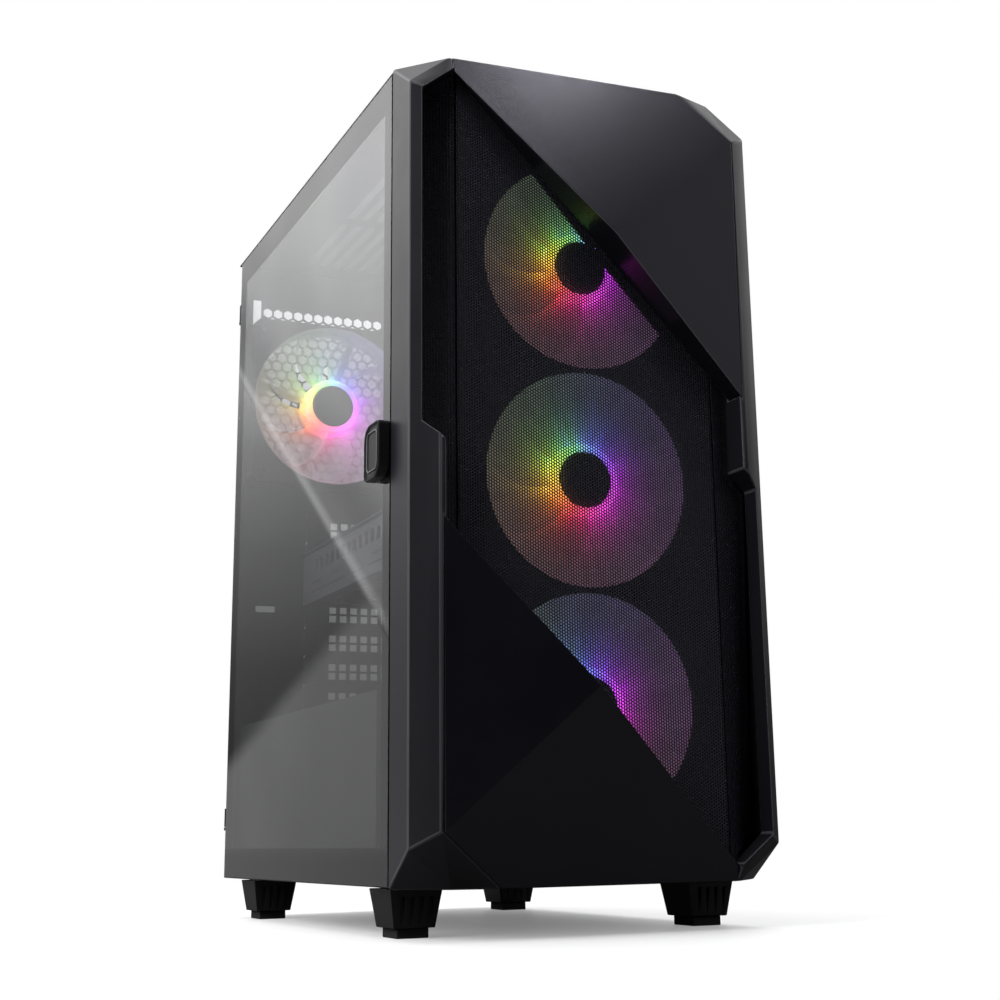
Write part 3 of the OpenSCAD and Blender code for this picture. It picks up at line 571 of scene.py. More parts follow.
def perforated(name, h_range):
    """A band of the steel mesh: staggered holes, each with its walls and a back face."""
    column = HOLE_PITCH * math.sqrt(3) / 2
    reach = math.ceil(98 / column)
    j = np.arange(math.floor(h_range[0] / HOLE_PITCH) - 1, math.ceil(h_range[1] / HOLE_PITCH) + 1)
    jj, ii = np.meshgrid(j, np.arange(-reach, reach + 1), indexing="ij")
    cx = ii * column
    ch = (jj + 0.5 * (ii % 2)) * HOLE_PITCH
    keep = inside(cx, ch, WINDOW) & ~inside(cx, ch, FACET_COVER)
    keep &= ~inside(-cx, CASE_H - ch, FACET_COVER)
    keep &= (ch >= h_range[0]) & (ch < h_range[1])
    keep &= np.abs(np.abs(cx) - FOLD_X) > FOLD_GAP
    cx, ch = cx[keep], ch[keep]
    plain = near_edge(cx, ch, WINDOW, PLAIN_MARGIN)
    a = np.radians(np.arange(0, 360, 60))
    out_r = HOLE_PITCH / math.sqrt(3)
    in_r = out_r * np.where(plain, PLAIN_HOLE, HOLE)[:, None]
    ox, oh = cx[:, None] + out_r * np.cos(a), ch[:, None] + out_r * np.sin(a)
    hx, hh = cx[:, None] + in_r * np.cos(a), ch[:, None] + in_r * np.sin(a)
    n = len(cx)
    keys = np.stack([np.round(ox * 200), np.round(oh * 200)], -1).reshape(-1, 2).astype(np.int64)
    _, first, index = np.unique(keys, axis=0, return_index=True, return_inverse=True)
    index = index.reshape(n, 6)
    fx, fh = ox.reshape(-1)[first], oh.reshape(-1)[first]
    m = len(fx)
    all_x = np.concatenate([fx, hx.reshape(-1)])
    all_h = np.concatenate([fh, hh.reshape(-1)])
    front = np.stack([all_x, mesh_depth(all_x, all_h), all_h], -1)
    back = front + (0, MESH_THICK, 0)
    verts = np.concatenate([front, back])
    total = len(front)
    inner = m + np.arange(n * 6).reshape(n, 6)
    nxt = np.roll(np.arange(6), -1)
    o0, o1, i0, i1 = index, index[:, nxt], inner, inner[:, nxt]
    quads = np.concatenate([
        np.stack([o0, o1, i1, i0], -1).reshape(-1, 4),
        np.stack([i0, i1, i1 + total, i0 + total], -1).reshape(-1, 4),
        np.stack([i0 + total, i1 + total, o1 + total, o0 + total], -1).reshape(-1, 4),
    ])
    edges = np.sort(np.stack([o0, o1], -1).reshape(-1, 2), axis=1)
    _, where, count = np.unique(edges, axis=0, return_index=True, return_counts=True)
    rim = np.stack([o0, o1], -1).reshape(-1, 2)[where[count == 1]]
    walls = np.stack([rim[:, 1], rim[:, 0], rim[:, 0] + total, rim[:, 1] + total], -1)
    quads = np.concatenate([quads, walls])
    verts = verts * MM + np.array(SEAM)
    mesh = bpy.data.meshes.new(name)
    mesh.vertices.add(len(verts))
    mesh.vertices.foreach_set("co", verts.astype(np.float32).reshape(-1))
    mesh.loops.add(len(quads) * 4)
    mesh.loops.foreach_set("vertex_index", quads.astype(np.int32).reshape(-1))
    mesh.polygons.add(len(quads))
    mesh.polygons.foreach_set("loop_start", np.arange(len(quads), dtype=np.int32) * 4)
    mesh.update(calc_edges=True)
    obj = bpy.data.objects.new(name, mesh)
    bpy.context.scene.collection.objects.link(obj)
    finish_piece(obj, "front_cover", MESH, "mesh_steel", ["front_mesh"])


BAND_ENDS = (5, 90, 160, 222, 280, 345, 433)
for band, limits in enumerate(zip(BAND_ENDS, BAND_ENDS[1:])):
    perforated("front_mesh_band_%d" % (band + 1), limits)

upright_plane = placed((0, 0, 0), (1, 0, 0), (0, 0, 1), (0, 1, 0))
backing = Shape()
for turn_round in (False, True):
    for (x0, h0), (x1, h1) in zip(FACET_EDGE, FACET_EDGE[1:]):
        dx, dh = x1 - x0, h1 - h0
        size = math.hypot(dx, dh)
        ux, uh = dh / size * BACKING_WIDTH, -dx / size * BACKING_WIDTH
        strip = [(x0, h0), (x1, h1), (x1 + ux, h1 + uh), (x0 + ux, h0 + uh)]
        if turn_round:
            strip = [(-x, CASE_H - h) for x, h in strip]
        backing.prism(strip, *BACKING_Y, upright_plane)
backing.build("facet_backing_strips", "front_cover", PLASTIC, slot="plastic_frame", bevel=0.2)


# ---------------------------------------------------------------- fans

BLADE_SKIN = 1.1
BLADE_TWIST = 0.35


def blades(place, count, r0, r1, z0, z1, wide, sweep):
    """Curved, pitched blades between a hub and its tips, each a closed thin shell."""
    shape = Shape()
    rows, cols = 9, 7
    mid = (z0 + z1) / 2
    for k in range(count):
        start = 2 * math.pi * k / count
        shell = []
        for side in (0, 1):
            for i in range(rows):
                t = i / (rows - 1)
                r = r0 + (r1 - r0) * t
                span = 2 * math.pi / count * wide * (0.82 + 0.18 * t)
                lean = sweep * t * t
                reach = (z1 - z0 - BLADE_SKIN) / 2 * (1 - BLADE_TWIST * t)
                for j in range(cols):
                    s = j / (cols - 1)
                    a = start + lean + span * (s - 0.5)
                    z = mid + reach * (2 * s - 1) - 1.2 * math.sin(math.pi * s) * (0.4 + 0.6 * t)
                    z += (side - 0.5) * BLADE_SKIN
                    shell.append((r * math.cos(a), r * math.sin(a), z))
        faces = []
        base = rows * cols
        for i in range(rows - 1):
            for j in range(cols - 1):
                q = (i * cols + j, i * cols + j + 1, (i + 1) * cols + j + 1, (i + 1) * cols + j)
                faces.append(q)
                faces.append(tuple(base + v for v in reversed(q)))
        ring = list(range(cols)) + [i * cols + cols - 1 for i in range(1, rows)]
        ring += [(rows - 1) * cols + j for j in range(cols - 2, -1, -1)]
        ring += [i * cols for i in range(rows - 2, 0, -1)]
        for a, b in zip(ring, ring[1:] + ring[:1]):
            faces.append((b, a, base + a, base + b))
        shape.add(shell, faces, place)
    return shape


RING_GLOW = [(0, 0.0), (14.5, 0.0), (15.6, 1.3), (18, 1.6), (21, 1.2), (24.5, 0.9), (60, 0.5)]
BLADE_GLOW = [(0, 1.2), (20, 1.1), (25, 0.62), (31, 0.34), (40, 0.20), (50, 0.15), (60, 0.14)]
HUB_CAP = [(0, 1.8), (13.2, 1.8), (14.4, 2.1), (15.2, 3.0), (15.2, 8), (0, 8)]
HUB_RING = [(15.1, 3.0), (15.8, 2.5), (18.2, 2.6), (19.6, 3.4), (20.2, 5.0), (20.2, 20.0),
            (19.4, 21.4), (15.1, 21.4)]
LIGHT_BAND = [(56.9, 1.2), (57.4, 0.4), (58.4, 0.1), (58.4, 21.6), (57.0, 21.6)]
RING_BASE = (0.7, 0.68, 0.72)


def lit_rotor(name, node, body, spot, alpha, base, wash, turn, power, wide=1.95):
    """A case fan's rotor, lit from its hub ring, and the light band fixed round it."""
    place = facing_y(*spot)
    centre = at(*spot)
    glow = glow_material(name + "_ring_light", centre, turn, RING_GLOW, 1.0, RING_BASE, power=power)
    shine = glow_material(name + "_blade_light", centre, turn, BLADE_GLOW, alpha, base, wash, power)
    hub = Shape().lathe(HUB_CAP, place, 64)
    hub.build(name + "_hub_cap", body, HUB, slot="fan_dark", smooth=35)
    ring = Shape().lathe(HUB_RING, place, 72)
    ring.build(name + "_hub_ring", body, glow, slot="fan_blades", smooth=35, replaces=[node])
    vanes = blades(place, 9, 17.5, 56.6, 3.0, 20.4, wide=wide, sweep=0.5)
    vanes.build(name + "_blades", body, shine, slot="fan_blades", smooth=40)
    band = Shape().lathe(LIGHT_BAND, place, 96)
    band.build(name + "_light_band", "chassis", shine, slot="fan_blades", smooth=35)


for level, h, turn in zip(("top", "middle", "bottom"), FAN_H, (0.01, -0.02, -0.08)):
    lit_rotor("fan_%s" % level, "fan_%s_rotor" % level, "rotor_%s" % level, (0, FRONT_FAN_Y, h),
              0.93, (0.22, 0.21, 0.23), 0.60, turn, 1.1)
lit_rotor("fan_rear", "fan_rear_rotor", "rotor_rear", (REAR_FAN_X, REAR_FAN_Y, REAR_FAN_H),
          0.46, (0.50, 0.48, 0.50), 0.5, 0.0, 1.5, wide=1.2)


def dark_rotor(name, node, body, place, hub_r, tip_r, z1, count):
    """An unlit rotor of black plastic."""
    hub = Shape().lathe([(0, 0.2), (hub_r - 2.2, 0.2), (hub_r - 0.6, 0.9), (hub_r, 2.2), (hub_r, z1),
                         (0, z1)], place, 56)
    hub.build(name + "_hub", body, FAN_DARK, slot="fan_dark", smooth=35, replaces=[node])
    vanes = blades(place, count, hub_r - 0.8, tip_r, 0.4, z1, wide=0.9, sweep=0.4)
    vanes.build(name + "_blades", body, FAN_DARK, slot="fan_dark", smooth=40)


for end, y in zip(("front", "rear"), CARD_FANS_Y):
    dark_rotor("card_fan_" + end, "graphics_rotor_" + end, "rotor_card_" + end,
               facing_z(CARD_MID_X, y, 186), 15, 44.4, 11.6, 11)
dark_rotor("supply_fan", "psu_rotor", "rotor_supply", facing_z(4, 268, 6.2), 20, 57.5, 14.6, 11)
dark_rotor("cooler_fan", "cooler_rotor", "rotor_cooler", facing_x(7, 258, 329), 16, 42.3, 11.4, 9)

for level in ("top", "middle", "bottom", "rear"):
    shaped("fan_%s_frame" % level, 0.35)
shaped("cooler_fan_frame", 0.35)

# ---------------------------------------------------------------- door, feet, small parts

shaped("door_glass", 0.4)
shaped("door_handle", 0.9)

# The line round the door handle's face, lighter grey as a painted highlight.
HANDLE_LINE_END = (4.0, 4.5)
HANDLE_LINE_ROUND = 3
HANDLE_LINE_SINK = 0.52
HANDLE_LINE_RADIUS = 0.42


def handle_highlight_line():
    """The fine lighter grey line round the outer face of the door handle: a painted highlight."""
    low, high = ((corner - SEAM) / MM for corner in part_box("door_handle"))
    front, rear = low.y + HANDLE_LINE_END[0] + HANDLE_LINE_ROUND, high.y - HANDLE_LINE_END[0] - HANDLE_LINE_ROUND
    bottom, top = low.z + HANDLE_LINE_END[1] + HANDLE_LINE_ROUND, high.z - HANDLE_LINE_END[1] - HANDLE_LINE_ROUND
    loop = []
    for cy, ch, start in ((rear, top, 0), (front, top, 90), (front, bottom, 180), (rear, bottom, 270)):
        for step in range(0, 91, 15):
            a = math.radians(start + step)
            y, h = cy + HANDLE_LINE_ROUND * math.cos(a), ch + HANDLE_LINE_ROUND * math.sin(a)
            loop.append((low.x + HANDLE_LINE_SINK, y, h))
    line = Shape().tube(loop + loop[:1], HANDLE_LINE_RADIUS, 8)
    line.build("door_handle_highlight_line", frame["nodes"]["door_handle"]["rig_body"], EDGE,
               slot="plastic_frame", smooth=60)


handle_highlight_line()
for node, width in (
        ("foot_front_left", 0.4), ("foot_front_right", 0.4), ("foot_rear_left", 0.4),
        ("foot_rear_right", 0.4), ("foot_pads", 0.5), ("graphics_shroud", 0.5), ("io_module", 0.4),
        ("side_panel", 0.3), ("power_button", 0.5), ("reset_button", 0.5), ("psu_case", 0.5),
        ("hard_drive", 0.5), ("memory_sticks", 0.4), ("psu_switch", 0.4), ("top_filter", 0.3)):
    shaped(node, width)

# ---------------------------------------------------------------- screws and filters

def star(radius, depth, teeth):
    """The outline of a knurled head."""
    reach = [radius - (k % 2) * depth for k in range(2 * teeth)]
    return [(r * math.cos(math.pi * k / teeth), r * math.sin(math.pi * k / teeth))
            for k, r in enumerate(reach)]


def screw_head(shape, place, r, tall):
    """A low domed head with a cross recess left as four raised quarters."""
    shape.lathe([(0, 0), (r, 0), (r, tall * 0.35), (r * 0.82, tall * 0.8), (r * 0.5, tall * 0.85),
                 (0, tall * 0.85)], place, 28)
    for sx in (-1, 1):
        for sy in (-1, 1):
            x = sorted((sx * r * 0.12, sx * r * 0.45))
            y = sorted((sy * r * 0.12, sy * r * 0.45))
            shape.box(x, y, (tall * 0.5, tall), place)


thumb = Shape()
for h in (60, 380):
    place = facing_y(98.5, 341.2, h)
    thumb.lathe([(0, -9), (1.6, -9), (1.6, 0), (0, 0)], place, 20)
    thumb.lathe([(0, 0), (4.4, 0), (4.6, 0.4), (4.6, 1.0), (0, 1.0)], place, 40)
    thumb.prism(star(5.0, 0.28, 36), 0.9, 5.9, place)
    for a in (0, math.pi / 2):
        turn = place @ Matrix.Rotation(a, 4, "Z")
        for side in ((-3.6, -0.7), (0.7, 3.6)):
            thumb.box(side, (0.6, 3.2), (5.8, 6.7), turn)
            thumb.box(side, (-3.2, -0.6), (5.8, 6.7), turn)
thumb.build("side_panel_thumb_screws", "side_cover", SCREW, slot="screw_steel",
            replaces=["side_panel_screws"], bevel=0.15)

FAN_SCREW = 52.5
heads = Shape()
for x in (-FAN_SCREW, FAN_SCREW):
    for z in (-FAN_SCREW, FAN_SCREW):
        place = facing_y(REAR_FAN_X + x, REAR_Y, REAR_FAN_H + z)
        screw_head(heads, place, 3.6, 2.0)
        heads.lathe([(0, -8), (1.8, -8), (1.8, 0.1), (0, 0.1)], place, 16)
heads.build("rear_fan_screw_heads", "chassis", DARK_SCREW, slot="screw_steel",
            replaces=["rear_fan_screws"], bevel=0.1)

small = Shape()
for k in range(7):
    screw_head(small, facing_door(-49.6, 343.6, 241.7 - SLOT_PITCH * k), 2.7, 1.6)
for x, h in ((69, 92), (69, 8), (-63, 92), (-63, 8), (22, 410), (74, 250), (95, 428), (-97, 428),
             (-97, 150), (95, 150)):
    screw_head(small, facing_y(x, REAR_Y, h), 2.7, 1.3)
small.build("rear_panel_screws", "chassis", DARK_SCREW, slot="screw_steel", bevel=0.1)


def net(name, body, x, y, h, pitch, wire, replaces=()):
    """Fine woven net: one set of threads lies over the other."""
    shape = Shape()
    mid = (h[0] + h[1]) / 2
    for k in range(int((x[1] - x[0]) / pitch) + 1):
        a = x[0] + k * pitch
        shape.box((a, a + wire), y, (h[0], mid))
    for k in range(int((y[1] - y[0]) / pitch) + 1):
        b = y[0] + k * pitch
        shape.box(x, (b, b + wire), (mid, h[1]))
    shape.build(name, body, NET, slot="filter_mesh", replaces=replaces)


net("top_filter_net", "roof_filter", (-96, 91.8), (122, 321.8), (436.32, 436.9), 1.25, 0.4,
    ["top_filter_mesh"])
net("floor_filter_net_left", "floor_filter", (-57, -2.2), (206, 329.8), (0.6, 1.05), 1.6, 0.4)
net("floor_filter_net_right", "floor_filter", (2, 56.8), (206, 329.8), (0.6, 1.05), 1.6, 0.4)

# ---------------------------------------------------------------- board, cooler and card

# The face of the main board, which looks towards the door.
FACE = 72.0
caps, tops = Shape(), Shape()
spots = [(114, 190 + 11 * k) for k in range(5)] + [(300, 262 + 9 * k) for k in range(4)]
spots += [(208 + 9 * k, 372) for k in range(9)] + [(304, 300 + 9 * k) for k in range(5)]
spots += [(120 + 12 * k, 118) for k in range(6)]
for y, h in spots:
    place = facing_door(FACE, y, h)
    caps.lathe([(0, 0), (3.1, 0), (3.1, 0.8), (2.9, 1.1), (3.1, 1.5), (3.1, 6.4), (2.7, 6.7), (0, 6.7)],
               place, 24)
    tops.lathe([(0, 6.6), (2.5, 6.6), (2.6, 6.9), (0, 6.9)], place, 24)
caps.build("board_capacitors", "chassis", CHIP, slot="circuit_board", smooth=40)
tops.build("board_capacitor_tops", "chassis", CAP_TOP, slot="port_steel", smooth=40)

chips = Shape()
for k in range(9):
    chips.box((FACE - 5, FACE), (206 + 9.5 * k, 213.5 + 9.5 * k), (377, 384.5))
for k in range(5):
    chips.box((FACE - 5, FACE), (292, 299.5), (304 + 9.5 * k, 311.5 + 9.5 * k))
for k in range(34):
    y, h = random.uniform(104, 296), random.choice((118, 148, 156, 196, 204, 246, 252))
    w, t = random.choice(((4, 3), (6, 6), (9, 7), (3, 2)))
    chips.box((FACE - random.choice((1.0, 1.6)), FACE), (y, y + w), (h, h + t))
for k in range(12):
    chips.box((FACE - 8, FACE), (110 + 15.5 * k, 121 + 15.5 * k), (110, 113.5))
chips.build("board_chips", "chassis", CHIP, slot="circuit_board", bevel=0.25)

sinks = Shape()
for k in range(9):
    sinks.box((55.2, 58.2), (306, 334), (352.6 + 5.1 * k, 355.4 + 5.1 * k))
for k in range(16):
    sinks.box((55.2, 58.2), (228.4 + 4.0 * k, 230.6 + 4.0 * k), (386, 402))
for k in range(10):
    sinks.box((60.6, 63.2), (120.4 + 4.4 * k, 122.6 + 4.4 * k), (128, 172))
sinks.build("board_heat_sink_fins", "chassis", SPREADER, slot="heat_spreader", bevel=0.3)

board_screws = Shape()
for y in (100, 212, 332):
    for h in (115, 240, 408):
        screw_head(board_screws, facing_door(FACE, y, h), 3.0, 1.5)
board_screws.build("board_screws", "chassis", SCREW, slot="screw_steel", bevel=0.1)

ribs = Shape()
for i in (1, 3):
    y = 157.8 + 9.6 * i
    for k in range(12):
        ribs.box((26.4, 29.6), (y - 0.1, y + 7.5), (270 + 11 * k, 276 + 11 * k))
    for k in range(5):
        ribs.box((33 + 5.6 * k, 35.4 + 5.6 * k), (y - 0.5, y + 0.2), (272, 398))
ribs.build("memory_ribs", "chassis", SPREADER, slot="heat_spreader", bevel=0.3)

pipes = Shape()
for y, h in ((222, 343), (222, 315), (236, 350), (236, 308),
             (280, 350), (280, 308), (294, 343), (294, 315)):
    place = facing_x(21.0, y, h)
    pipes.lathe([(0, 0.2), (1.4, 0.3), (2.6, 1.2), (3.0, 2.6), (3.0, 38), (0, 38)], place, 24)
pipes.build("cooler_heat_pipes", "chassis", COPPER, slot="cooler_fins", smooth=40)

card = Shape()
for y in CARD_FANS_Y:
    place = facing_z(CARD_MID_X, y, 184.6)
    card.lathe([(46.0, 0.6), (46.4, 0.1), (48.6, 0.1), (49.2, 0.6), (49.2, 1.4), (46.0, 1.4)], place, 72)
for y0 in (106, 214, 318):
    card.box((-40, 52), (y0 - 1.2, y0 + 1.2), (184.3, 185.4))
for k in range(5):
    card.box((-50.5, -49.6), (112 + 43 * k, 146 + 43 * k), (192, 193.2))
    card.box((-50.5, -49.6), (120 + 43 * k, 138 + 43 * k), (198, 199.2))
card.build("card_trim", "chassis", SPREADER, slot="plastic_shroud", bevel=0.3)

FIN_PITCH = 3
FIN_REACH = 45.5
fins = Shape()
for y in CARD_FANS_Y:
    for k in range(-14, 15):
        x = CARD_MID_X + FIN_PITCH * k
        half = math.sqrt(FIN_REACH ** 2 - (FIN_PITCH * k) ** 2)
        fins.box((x - 0.4, x + 0.4), (y - half, y + half), (199.0, 203.0))
fins.build("card_fins", "chassis", FINS, slot="cooler_fins")

plate = Shape()
for k in range(9):
    plate.box((-42 + 10 * k, -37 + 10 * k), (112, 196), (222.9, 223.6))
    plate.box((-42 + 10 * k, -37 + 10 * k), (228, 318), (222.9, 223.6))
plate.build("card_back_ribs", "chassis", SPREADER, slot="heat_spreader", bevel=0.25)

# ---------------------------------------------------------------- rear ports

PORT_Y = (331, 340.4)


def port_shell(shape, x, h, wall_x, wall_h):
    """Four thin walls round the opening of a port."""
    shape.box(x, PORT_Y, (h[0], h[0] + wall_h)).box(x, PORT_Y, (h[1] - wall_h, h[1]))
    shape.box((x[0], x[0] + wall_x), PORT_Y, h).box((x[1] - wall_x, x[1]), PORT_Y, h)


shells, blue, jacks = Shape(), Shape(), Shape()
for low in (262, 280, 298):
    for part in (0, 1):
        h = low + 0.6 + 6.1 * part
        port_shell(shells, (44.4, 59.6), (h, h + 5.7), 0.5, 0.4)
        blue.box((46, 58), (PORT_Y[0], 339.4), (h + 1.0, h + 2.8))
port_shell(shells, (40.4, 57.6), (322.4, 337.6), 0.6, 0.6)
for low in (350, 368):
    port_shell(shells, (28.4, 57.6), (low + 0.4, low + 9.6), 0.6, 0.6)
    blue.box((31, 55), (PORT_Y[0], 339.2), (low + 3.6, low + 6.4))
JACK = [(1.9, 8), (1.9, 9.6), (2.2, 9.9), (3.4, 9.9), (3.4, 0), (1.9, 0)]
for h in (388, 400):
    for x in (36, 50):
        jacks.lathe(JACK, facing_y(x, 330.5, h), 28)
shells.build("rear_port_shells", "chassis", PORT, slot="port_steel", bevel=0.1)
blue.build("rear_port_tongues", "chassis", BLUE, slot="plastic_black", bevel=0.2)
jacks.build("rear_audio_jacks", "chassis", PLASTIC, slot="plastic_black", smooth=40)

# ---------------------------------------------------------------- cables and grommets

def ribbon(shape, route, wide_axis, wires, pitch, layers, radius):
    """Sleeved wires side by side along a route, each a little wavy."""
    curve = smooth_path(route, 26)
    wide = Vector(wide_axis)
    for layer in range(layers):
        for k in range(wires):
            line = []
            for i, p in enumerate(curve):
                along = (curve[min(i + 1, len(curve) - 1)] - curve[max(i - 1, 0)]).normalized()
                side = along.cross(wide).normalized()
                wave = 0.25 * math.sin(i * 0.5 + k * 1.7)
                out = (layer - (layers - 1) / 2) * 2.2 * radius + wave
                line.append(p + wide * ((k - (wires - 1) / 2) * pitch) + side * out)
            shape.tube(line, radius, 7)


BOARD_ROUTE = [(79.9, 74, 326), (70, 74, 326), (58, 76, 326), (50, 82, 326), (47, 90, 326),
               (49, 97, 326), (53, 101, 326), (60, 101, 326)]
CPU_ROUTE = [(79.9, 300, 425), (72, 300, 425), (62, 301, 424), (55, 305, 419), (52, 308, 414),
             (53, 310, 409.5), (56, 310, 407.5), (61, 310, 407.5)]
wires = Shape()
ribbon(wires, BOARD_ROUTE, (0, 0, 1), 12, 3.9, 2, 1.15)
ribbon(wires, CPU_ROUTE, (0, 1, 0), 4, 3.9, 2, 1.0)
wires.build("power_cable_wires", "chassis", SLEEVE, slot="cable_sleeve",
            replaces=["power_cables"], smooth=60)
combs = Shape()
combs.box((56.2, 62.6), (98.4, 103.6), (302, 350))
combs.box((55.5, 61.4), (301.6, 318.4), (404.6, 410.4))
combs.box((62.5, 65.5), (72.4, 78.2), (302.5, 349.5))
combs.build("power_cable_plugs", "chassis", PLASTIC, slot="plastic_black", bevel=0.4)


TRAY_X = (79.2, 81.8)
LIP = 2.6


def grommet(shape, y, h):
    """A rubber lip round a cable opening in the tray."""
    for end in ((y[0] - LIP, y[0]), (y[1], y[1] + LIP)):
        shape.box(TRAY_X, end, (h[0] - LIP, h[1] + LIP))
    for end in ((h[0] - LIP, h[0]), (h[1], h[1] + LIP)):
        shape.box(TRAY_X, y, end)


grommets = Shape()
for h in (130, 205, 300):
    grommet(grommets, (64, 84), (h, h + 60))
grommets.build("tray_grommets", "chassis", RUBBER, slot="rubber_pad", bevel=0.5)

# ---------------------------------------------------------------- stage, light and camera

def floor_material():
    """Pale floor whose far parts melt into the white background; it stays dim in reflections."""
    mat, tree, bsdf, out = start_material("floor_paint")
    place = place_of(tree)
    cloud = noise(tree, place, 14.0)
    tree.links.new(ramp(tree, cloud, [(0.3, (0.84,) * 3), (0.7, (0.86, 0.86, 0.855))]),
                   bsdf.inputs["Base Color"])
    bsdf.inputs["Roughness"].default_value = 0.30
    bsdf.inputs["Specular IOR Level"].default_value = 0.35
    length = tree.nodes.new("ShaderNodeVectorMath")
    length.operation = "LENGTH"
    tree.links.new(place, length.inputs[0])
    fade = tree.nodes.new("ShaderNodeMapRange")
    fade.interpolation_type = "SMOOTHSTEP"
    fade.inputs["From Min"].default_value = 0.04
    fade.inputs["From Max"].default_value = 0.55
    fade.inputs["To Min"].default_value = 0.20
    tree.links.new(length.outputs["Value"], fade.inputs["Value"])
    white = tree.nodes.new("ShaderNodeEmission")
    melt = tree.nodes.new("ShaderNodeMixShader")
    tree.links.new(fade.outputs[0], melt.inputs["Fac"])
    tree.links.new(bsdf.outputs[0], melt.inputs[1])
    tree.links.new(white.outputs[0], melt.inputs[2])
    dim = tree.nodes.new("ShaderNodeBsdfDiffuse")
    dim.inputs["Color"].default_value = (0.05, 0.05, 0.05, 1.0)
    path = tree.nodes.new("ShaderNodeLightPath")
    pick = tree.nodes.new("ShaderNodeMixShader")
    tree.links.new(path.outputs["Is Camera Ray"], pick.inputs["Fac"])
    tree.links.new(dim.outputs[0], pick.inputs[1])
    tree.links.new(melt.outputs[0], pick.inputs[2])
    tree.links.new(pick.outputs[0], out.inputs["Surface"])
    return mat


FLOOR_REACH = 9.0


def stage_floor():
    """The wide floor under the feet."""
    r = FLOOR_REACH
    obj = add_object("studio_floor", [(-r, -r, 0), (r, -r, 0), (r, r, 0), (-r, r, 0)], [(0, 1, 2, 3)])
    obj.data.materials.append(floor_material())


def area(name, target, direction, distance, size, power, colour=(1, 1, 1)):
    """An area light that stands off in one direction and looks at its target."""
    light = bpy.data.lights.new(name, "AREA")
    light.shape = "RECTANGLE"
    light.size, light.size_y = size
    light.energy = power
    light.color = colour
    obj = bpy.data.objects.new(name, light)
    bpy.context.scene.collection.objects.link(obj)
    aim = Vector(direction).normalized()
    obj.location = Vector(target) + aim * distance
    obj.rotation_euler = aim.to_track_quat("Z", "Y").to_euler()
    return obj


def studio_world():
    """White to the camera; everything else sees a soft band of light behind and above."""
    world = bpy.data.worlds.new("studio")
    bpy.context.scene.world = world
    world.use_nodes = True
    tree = world.node_tree
    tree.nodes.clear()
    out = tree.nodes.new("ShaderNodeOutputWorld")
    seen = tree.nodes.new("ShaderNodeBackground")
    seen.inputs["Color"].default_value = (1.0, 1.0, 1.0, 1.0)
    around = tree.nodes.new("ShaderNodeBackground")
    coords = tree.nodes.new("ShaderNodeTexCoord")
    split = tree.nodes.new("ShaderNodeSeparateXYZ")
    tree.links.new(coords.outputs["Generated"], split.inputs[0])
    high = ramp(tree, split.outputs["Z"], [
        (0.0, (0.04,) * 3), (0.10, (0.10,) * 3), (0.17, (0.22,) * 3), (0.23, (0.40,) * 3),
        (0.29, (0.80,) * 3), (0.5, (1.25,) * 3), (1.0, (0.8,) * 3)])
    back = tree.nodes.new("ShaderNodeMapRange")
    back.inputs["From Min"].default_value = -0.55
    back.inputs["From Max"].default_value = 0.55
    back.inputs["To Min"].default_value = 0.04
    back.inputs["To Max"].default_value = 1.0
    tree.links.new(split.outputs["Y"], back.inputs["Value"])
    tone = tree.nodes.new("ShaderNodeMix")
    tone.data_type = "RGBA"
    tone.blend_type = "MULTIPLY"
    tone.inputs["Factor"].default_value = 1.0
    tree.links.new(high, tone.inputs["A"])
    tree.links.new(back.outputs[0], tone.inputs["B"])
    tree.links.new(tone.outputs["Result"], around.inputs["Color"])
    around.inputs["Strength"].default_value = 1.3
    path = tree.nodes.new("ShaderNodeLightPath")
    mix = tree.nodes.new("ShaderNodeMixShader")
    tree.links.new(path.outputs["Is Camera Ray"], mix.inputs["Fac"])
    tree.links.new(around.outputs[0], mix.inputs[1])
    tree.links.new(seen.outputs[0], mix.inputs[2])
    tree.links.new(mix.outputs[0], out.inputs["Surface"])


stage_floor()
studio_world()
MIDDLE = at(0, 120, 220)
FACET_TOP = at(0, -33, 437)
RIGHT_RIM = at(60, -38, 330)
MESH_MIDDLE = at(0, -33, 250)
COOL = (0.84, 0.86, 1.0)
for wide_light in (
        area("top_softbox", MIDDLE, (0.1, 0.25, 1.0), 2.2, (2.6, 2.6), 100),
        area("side_fill", MIDDLE, (-0.85, -0.15, 0.5), 2.0, (1.6, 1.6), 70)):
    wide_light.visible_glossy = False
area("facet_glow", FACET_TOP, (0.30, -0.62, 0.75), 1.9, (0.7, 0.5), 0.45, (0.88, 0.85, 1.0))
area("facet_spot", FACET_TOP, (0.312, -0.61, 0.73), 1.9, (0.12, 0.05), 2.4, (0.90, 0.87, 1.0))
area("right_glow", RIGHT_RIM, (0.68, -0.66, 0.33), 2.1, (1.2, 1.2), 2.0, (0.88, 0.88, 1.0))
front_light = area("mesh_glow", MESH_MIDDLE, (0.45, -0.85, 0.25), 2.4, (1.2, 1.6), 9.0, COOL)
front_light.visible_glossy = False


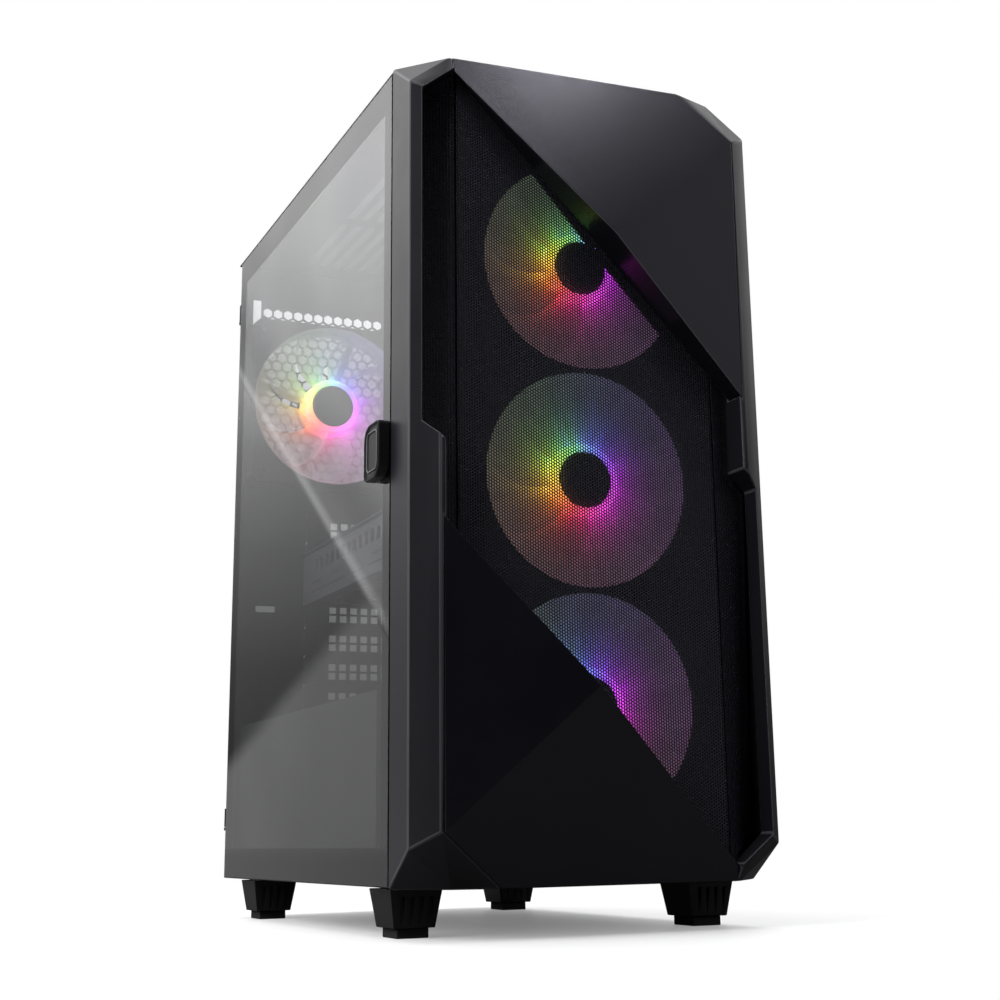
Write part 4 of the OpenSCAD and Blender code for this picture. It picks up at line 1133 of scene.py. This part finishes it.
def reflector(name, points, start, across, reach, stops, soft, cloudy=0.5):
    """A glowing card beside the door, seen only in reflections, with one soft edge."""
    obj = add_object(name, [at(*point) for point in points], [tuple(range(len(points)))])
    mat, tree, bsdf, _ = start_material(name)
    place = place_of(tree)
    away = tree.nodes.new("ShaderNodeVectorMath")
    away.operation = "SUBTRACT"
    away.inputs[1].default_value = at(*start)
    tree.links.new(place, away.inputs[0])
    along = tree.nodes.new("ShaderNodeVectorMath")
    along.operation = "DOT_PRODUCT"
    along.inputs[1].default_value = Vector(across) / (reach * MM)
    tree.links.new(away.outputs[0], along.inputs[0])
    shade = ramp(tree, along.outputs["Value"], [(spot, (value,) * 3) for spot, value in stops], "EASE")
    cloud = math_node(tree, "MULTIPLY_ADD", noise(tree, place, 1.2, 2.0), cloudy, 1.0 - cloudy / 2)
    tree.links.new(math_node(tree, "MULTIPLY", shade, cloud), bsdf.inputs["Emission Strength"])
    veil = ramp(tree, along.outputs["Value"], [(0.0, (0.0,) * 3), (soft, (1.0,) * 3)], "EASE")
    tree.links.new(veil, bsdf.inputs["Alpha"])
    bsdf.inputs["Emission Color"].default_value = (1.0, 1.0, 1.0, 1.0)
    bsdf.inputs["Base Color"].default_value = (0.0, 0.0, 0.0, 1.0)
    bsdf.inputs["Specular IOR Level"].default_value = 0.0
    obj.data.materials.append(mat)
    obj.visible_camera = False
    obj.visible_diffuse = False
    obj.visible_shadow = False
    obj.visible_transmission = False


REFLECTOR_X = -1200
NEAR_Y, FAR_Y = 2900, 4870
reflector("beam_card", [(REFLECTOR_X, 4900, 1686), (REFLECTOR_X, 3150, 505), (REFLECTOR_X, 2200, 1800),
                        (REFLECTOR_X, 2200, 3600), (REFLECTOR_X, 4900, 3600)],
          (REFLECTOR_X, 4900, 1686), (0, -0.559, 0.829), 1400,
          [(0.0, 0.8), (0.024, 1.05), (0.048, 0.60), (0.12, 0.52), (0.28, 0.95), (0.55, 1.40), (1.0, 1.70)],
          0.020)
reflector("low_card", [(REFLECTOR_X, FAR_Y, 308), (REFLECTOR_X, NEAR_Y, 794),
                       (REFLECTOR_X, NEAR_Y, -24), (REFLECTOR_X, FAR_Y, -24)],
          (REFLECTOR_X, 4805, 323), (0, -0.24, -0.971), 800, [(0.0, 0.44), (0.5, 0.43), (1.0, 0.40)], 0.12)
reflector("floor_card", [(REFLECTOR_X, 5200, 1), (REFLECTOR_X, -900, 1), (-112, -300, 1), (-112, 5200, 1)],
          (REFLECTOR_X - 100, 0, 1), (1, 0, 0), 1100, [(0.0, 0.40), (1.0, 0.34)], 0.01, 0.1)

# The camera of the photo: its turns in radians, its place in millimetres from the seam point.
YAW, PITCH, ROLL = 0.42707, 0.25347, -0.0176
CAMERA_SPOT = (-376.68, -784.42, 24.39)
LENS = 58.58
SHIFT = (-0.03674, -0.0854)


def photo_camera():
    """The camera stands in front of the door's side, rolled a little about its line of sight."""
    view = Vector((math.sin(YAW) * math.cos(PITCH), math.cos(YAW) * math.cos(PITCH), math.sin(PITCH)))
    level = Vector((math.cos(YAW), -math.sin(YAW), 0.0))
    upright = level.cross(view)
    right = math.cos(ROLL) * level + math.sin(ROLL) * upright
    above = -math.sin(ROLL) * level + math.cos(ROLL) * upright
    data = bpy.data.cameras.new("camera")
    data.lens = LENS
    data.sensor_width = 36.0
    data.shift_x, data.shift_y = SHIFT
    data.clip_start = 0.01
    camera = bpy.data.objects.new("camera", data)
    turned = Matrix((right, above, -view)).transposed().to_4x4()
    camera.matrix_world = Matrix.Translation(at(*CAMERA_SPOT)) @ turned
    bpy.context.scene.collection.objects.link(camera)
    bpy.context.scene.camera = camera


photo_camera()
bpy.context.scene.view_settings.view_transform = "Standard"
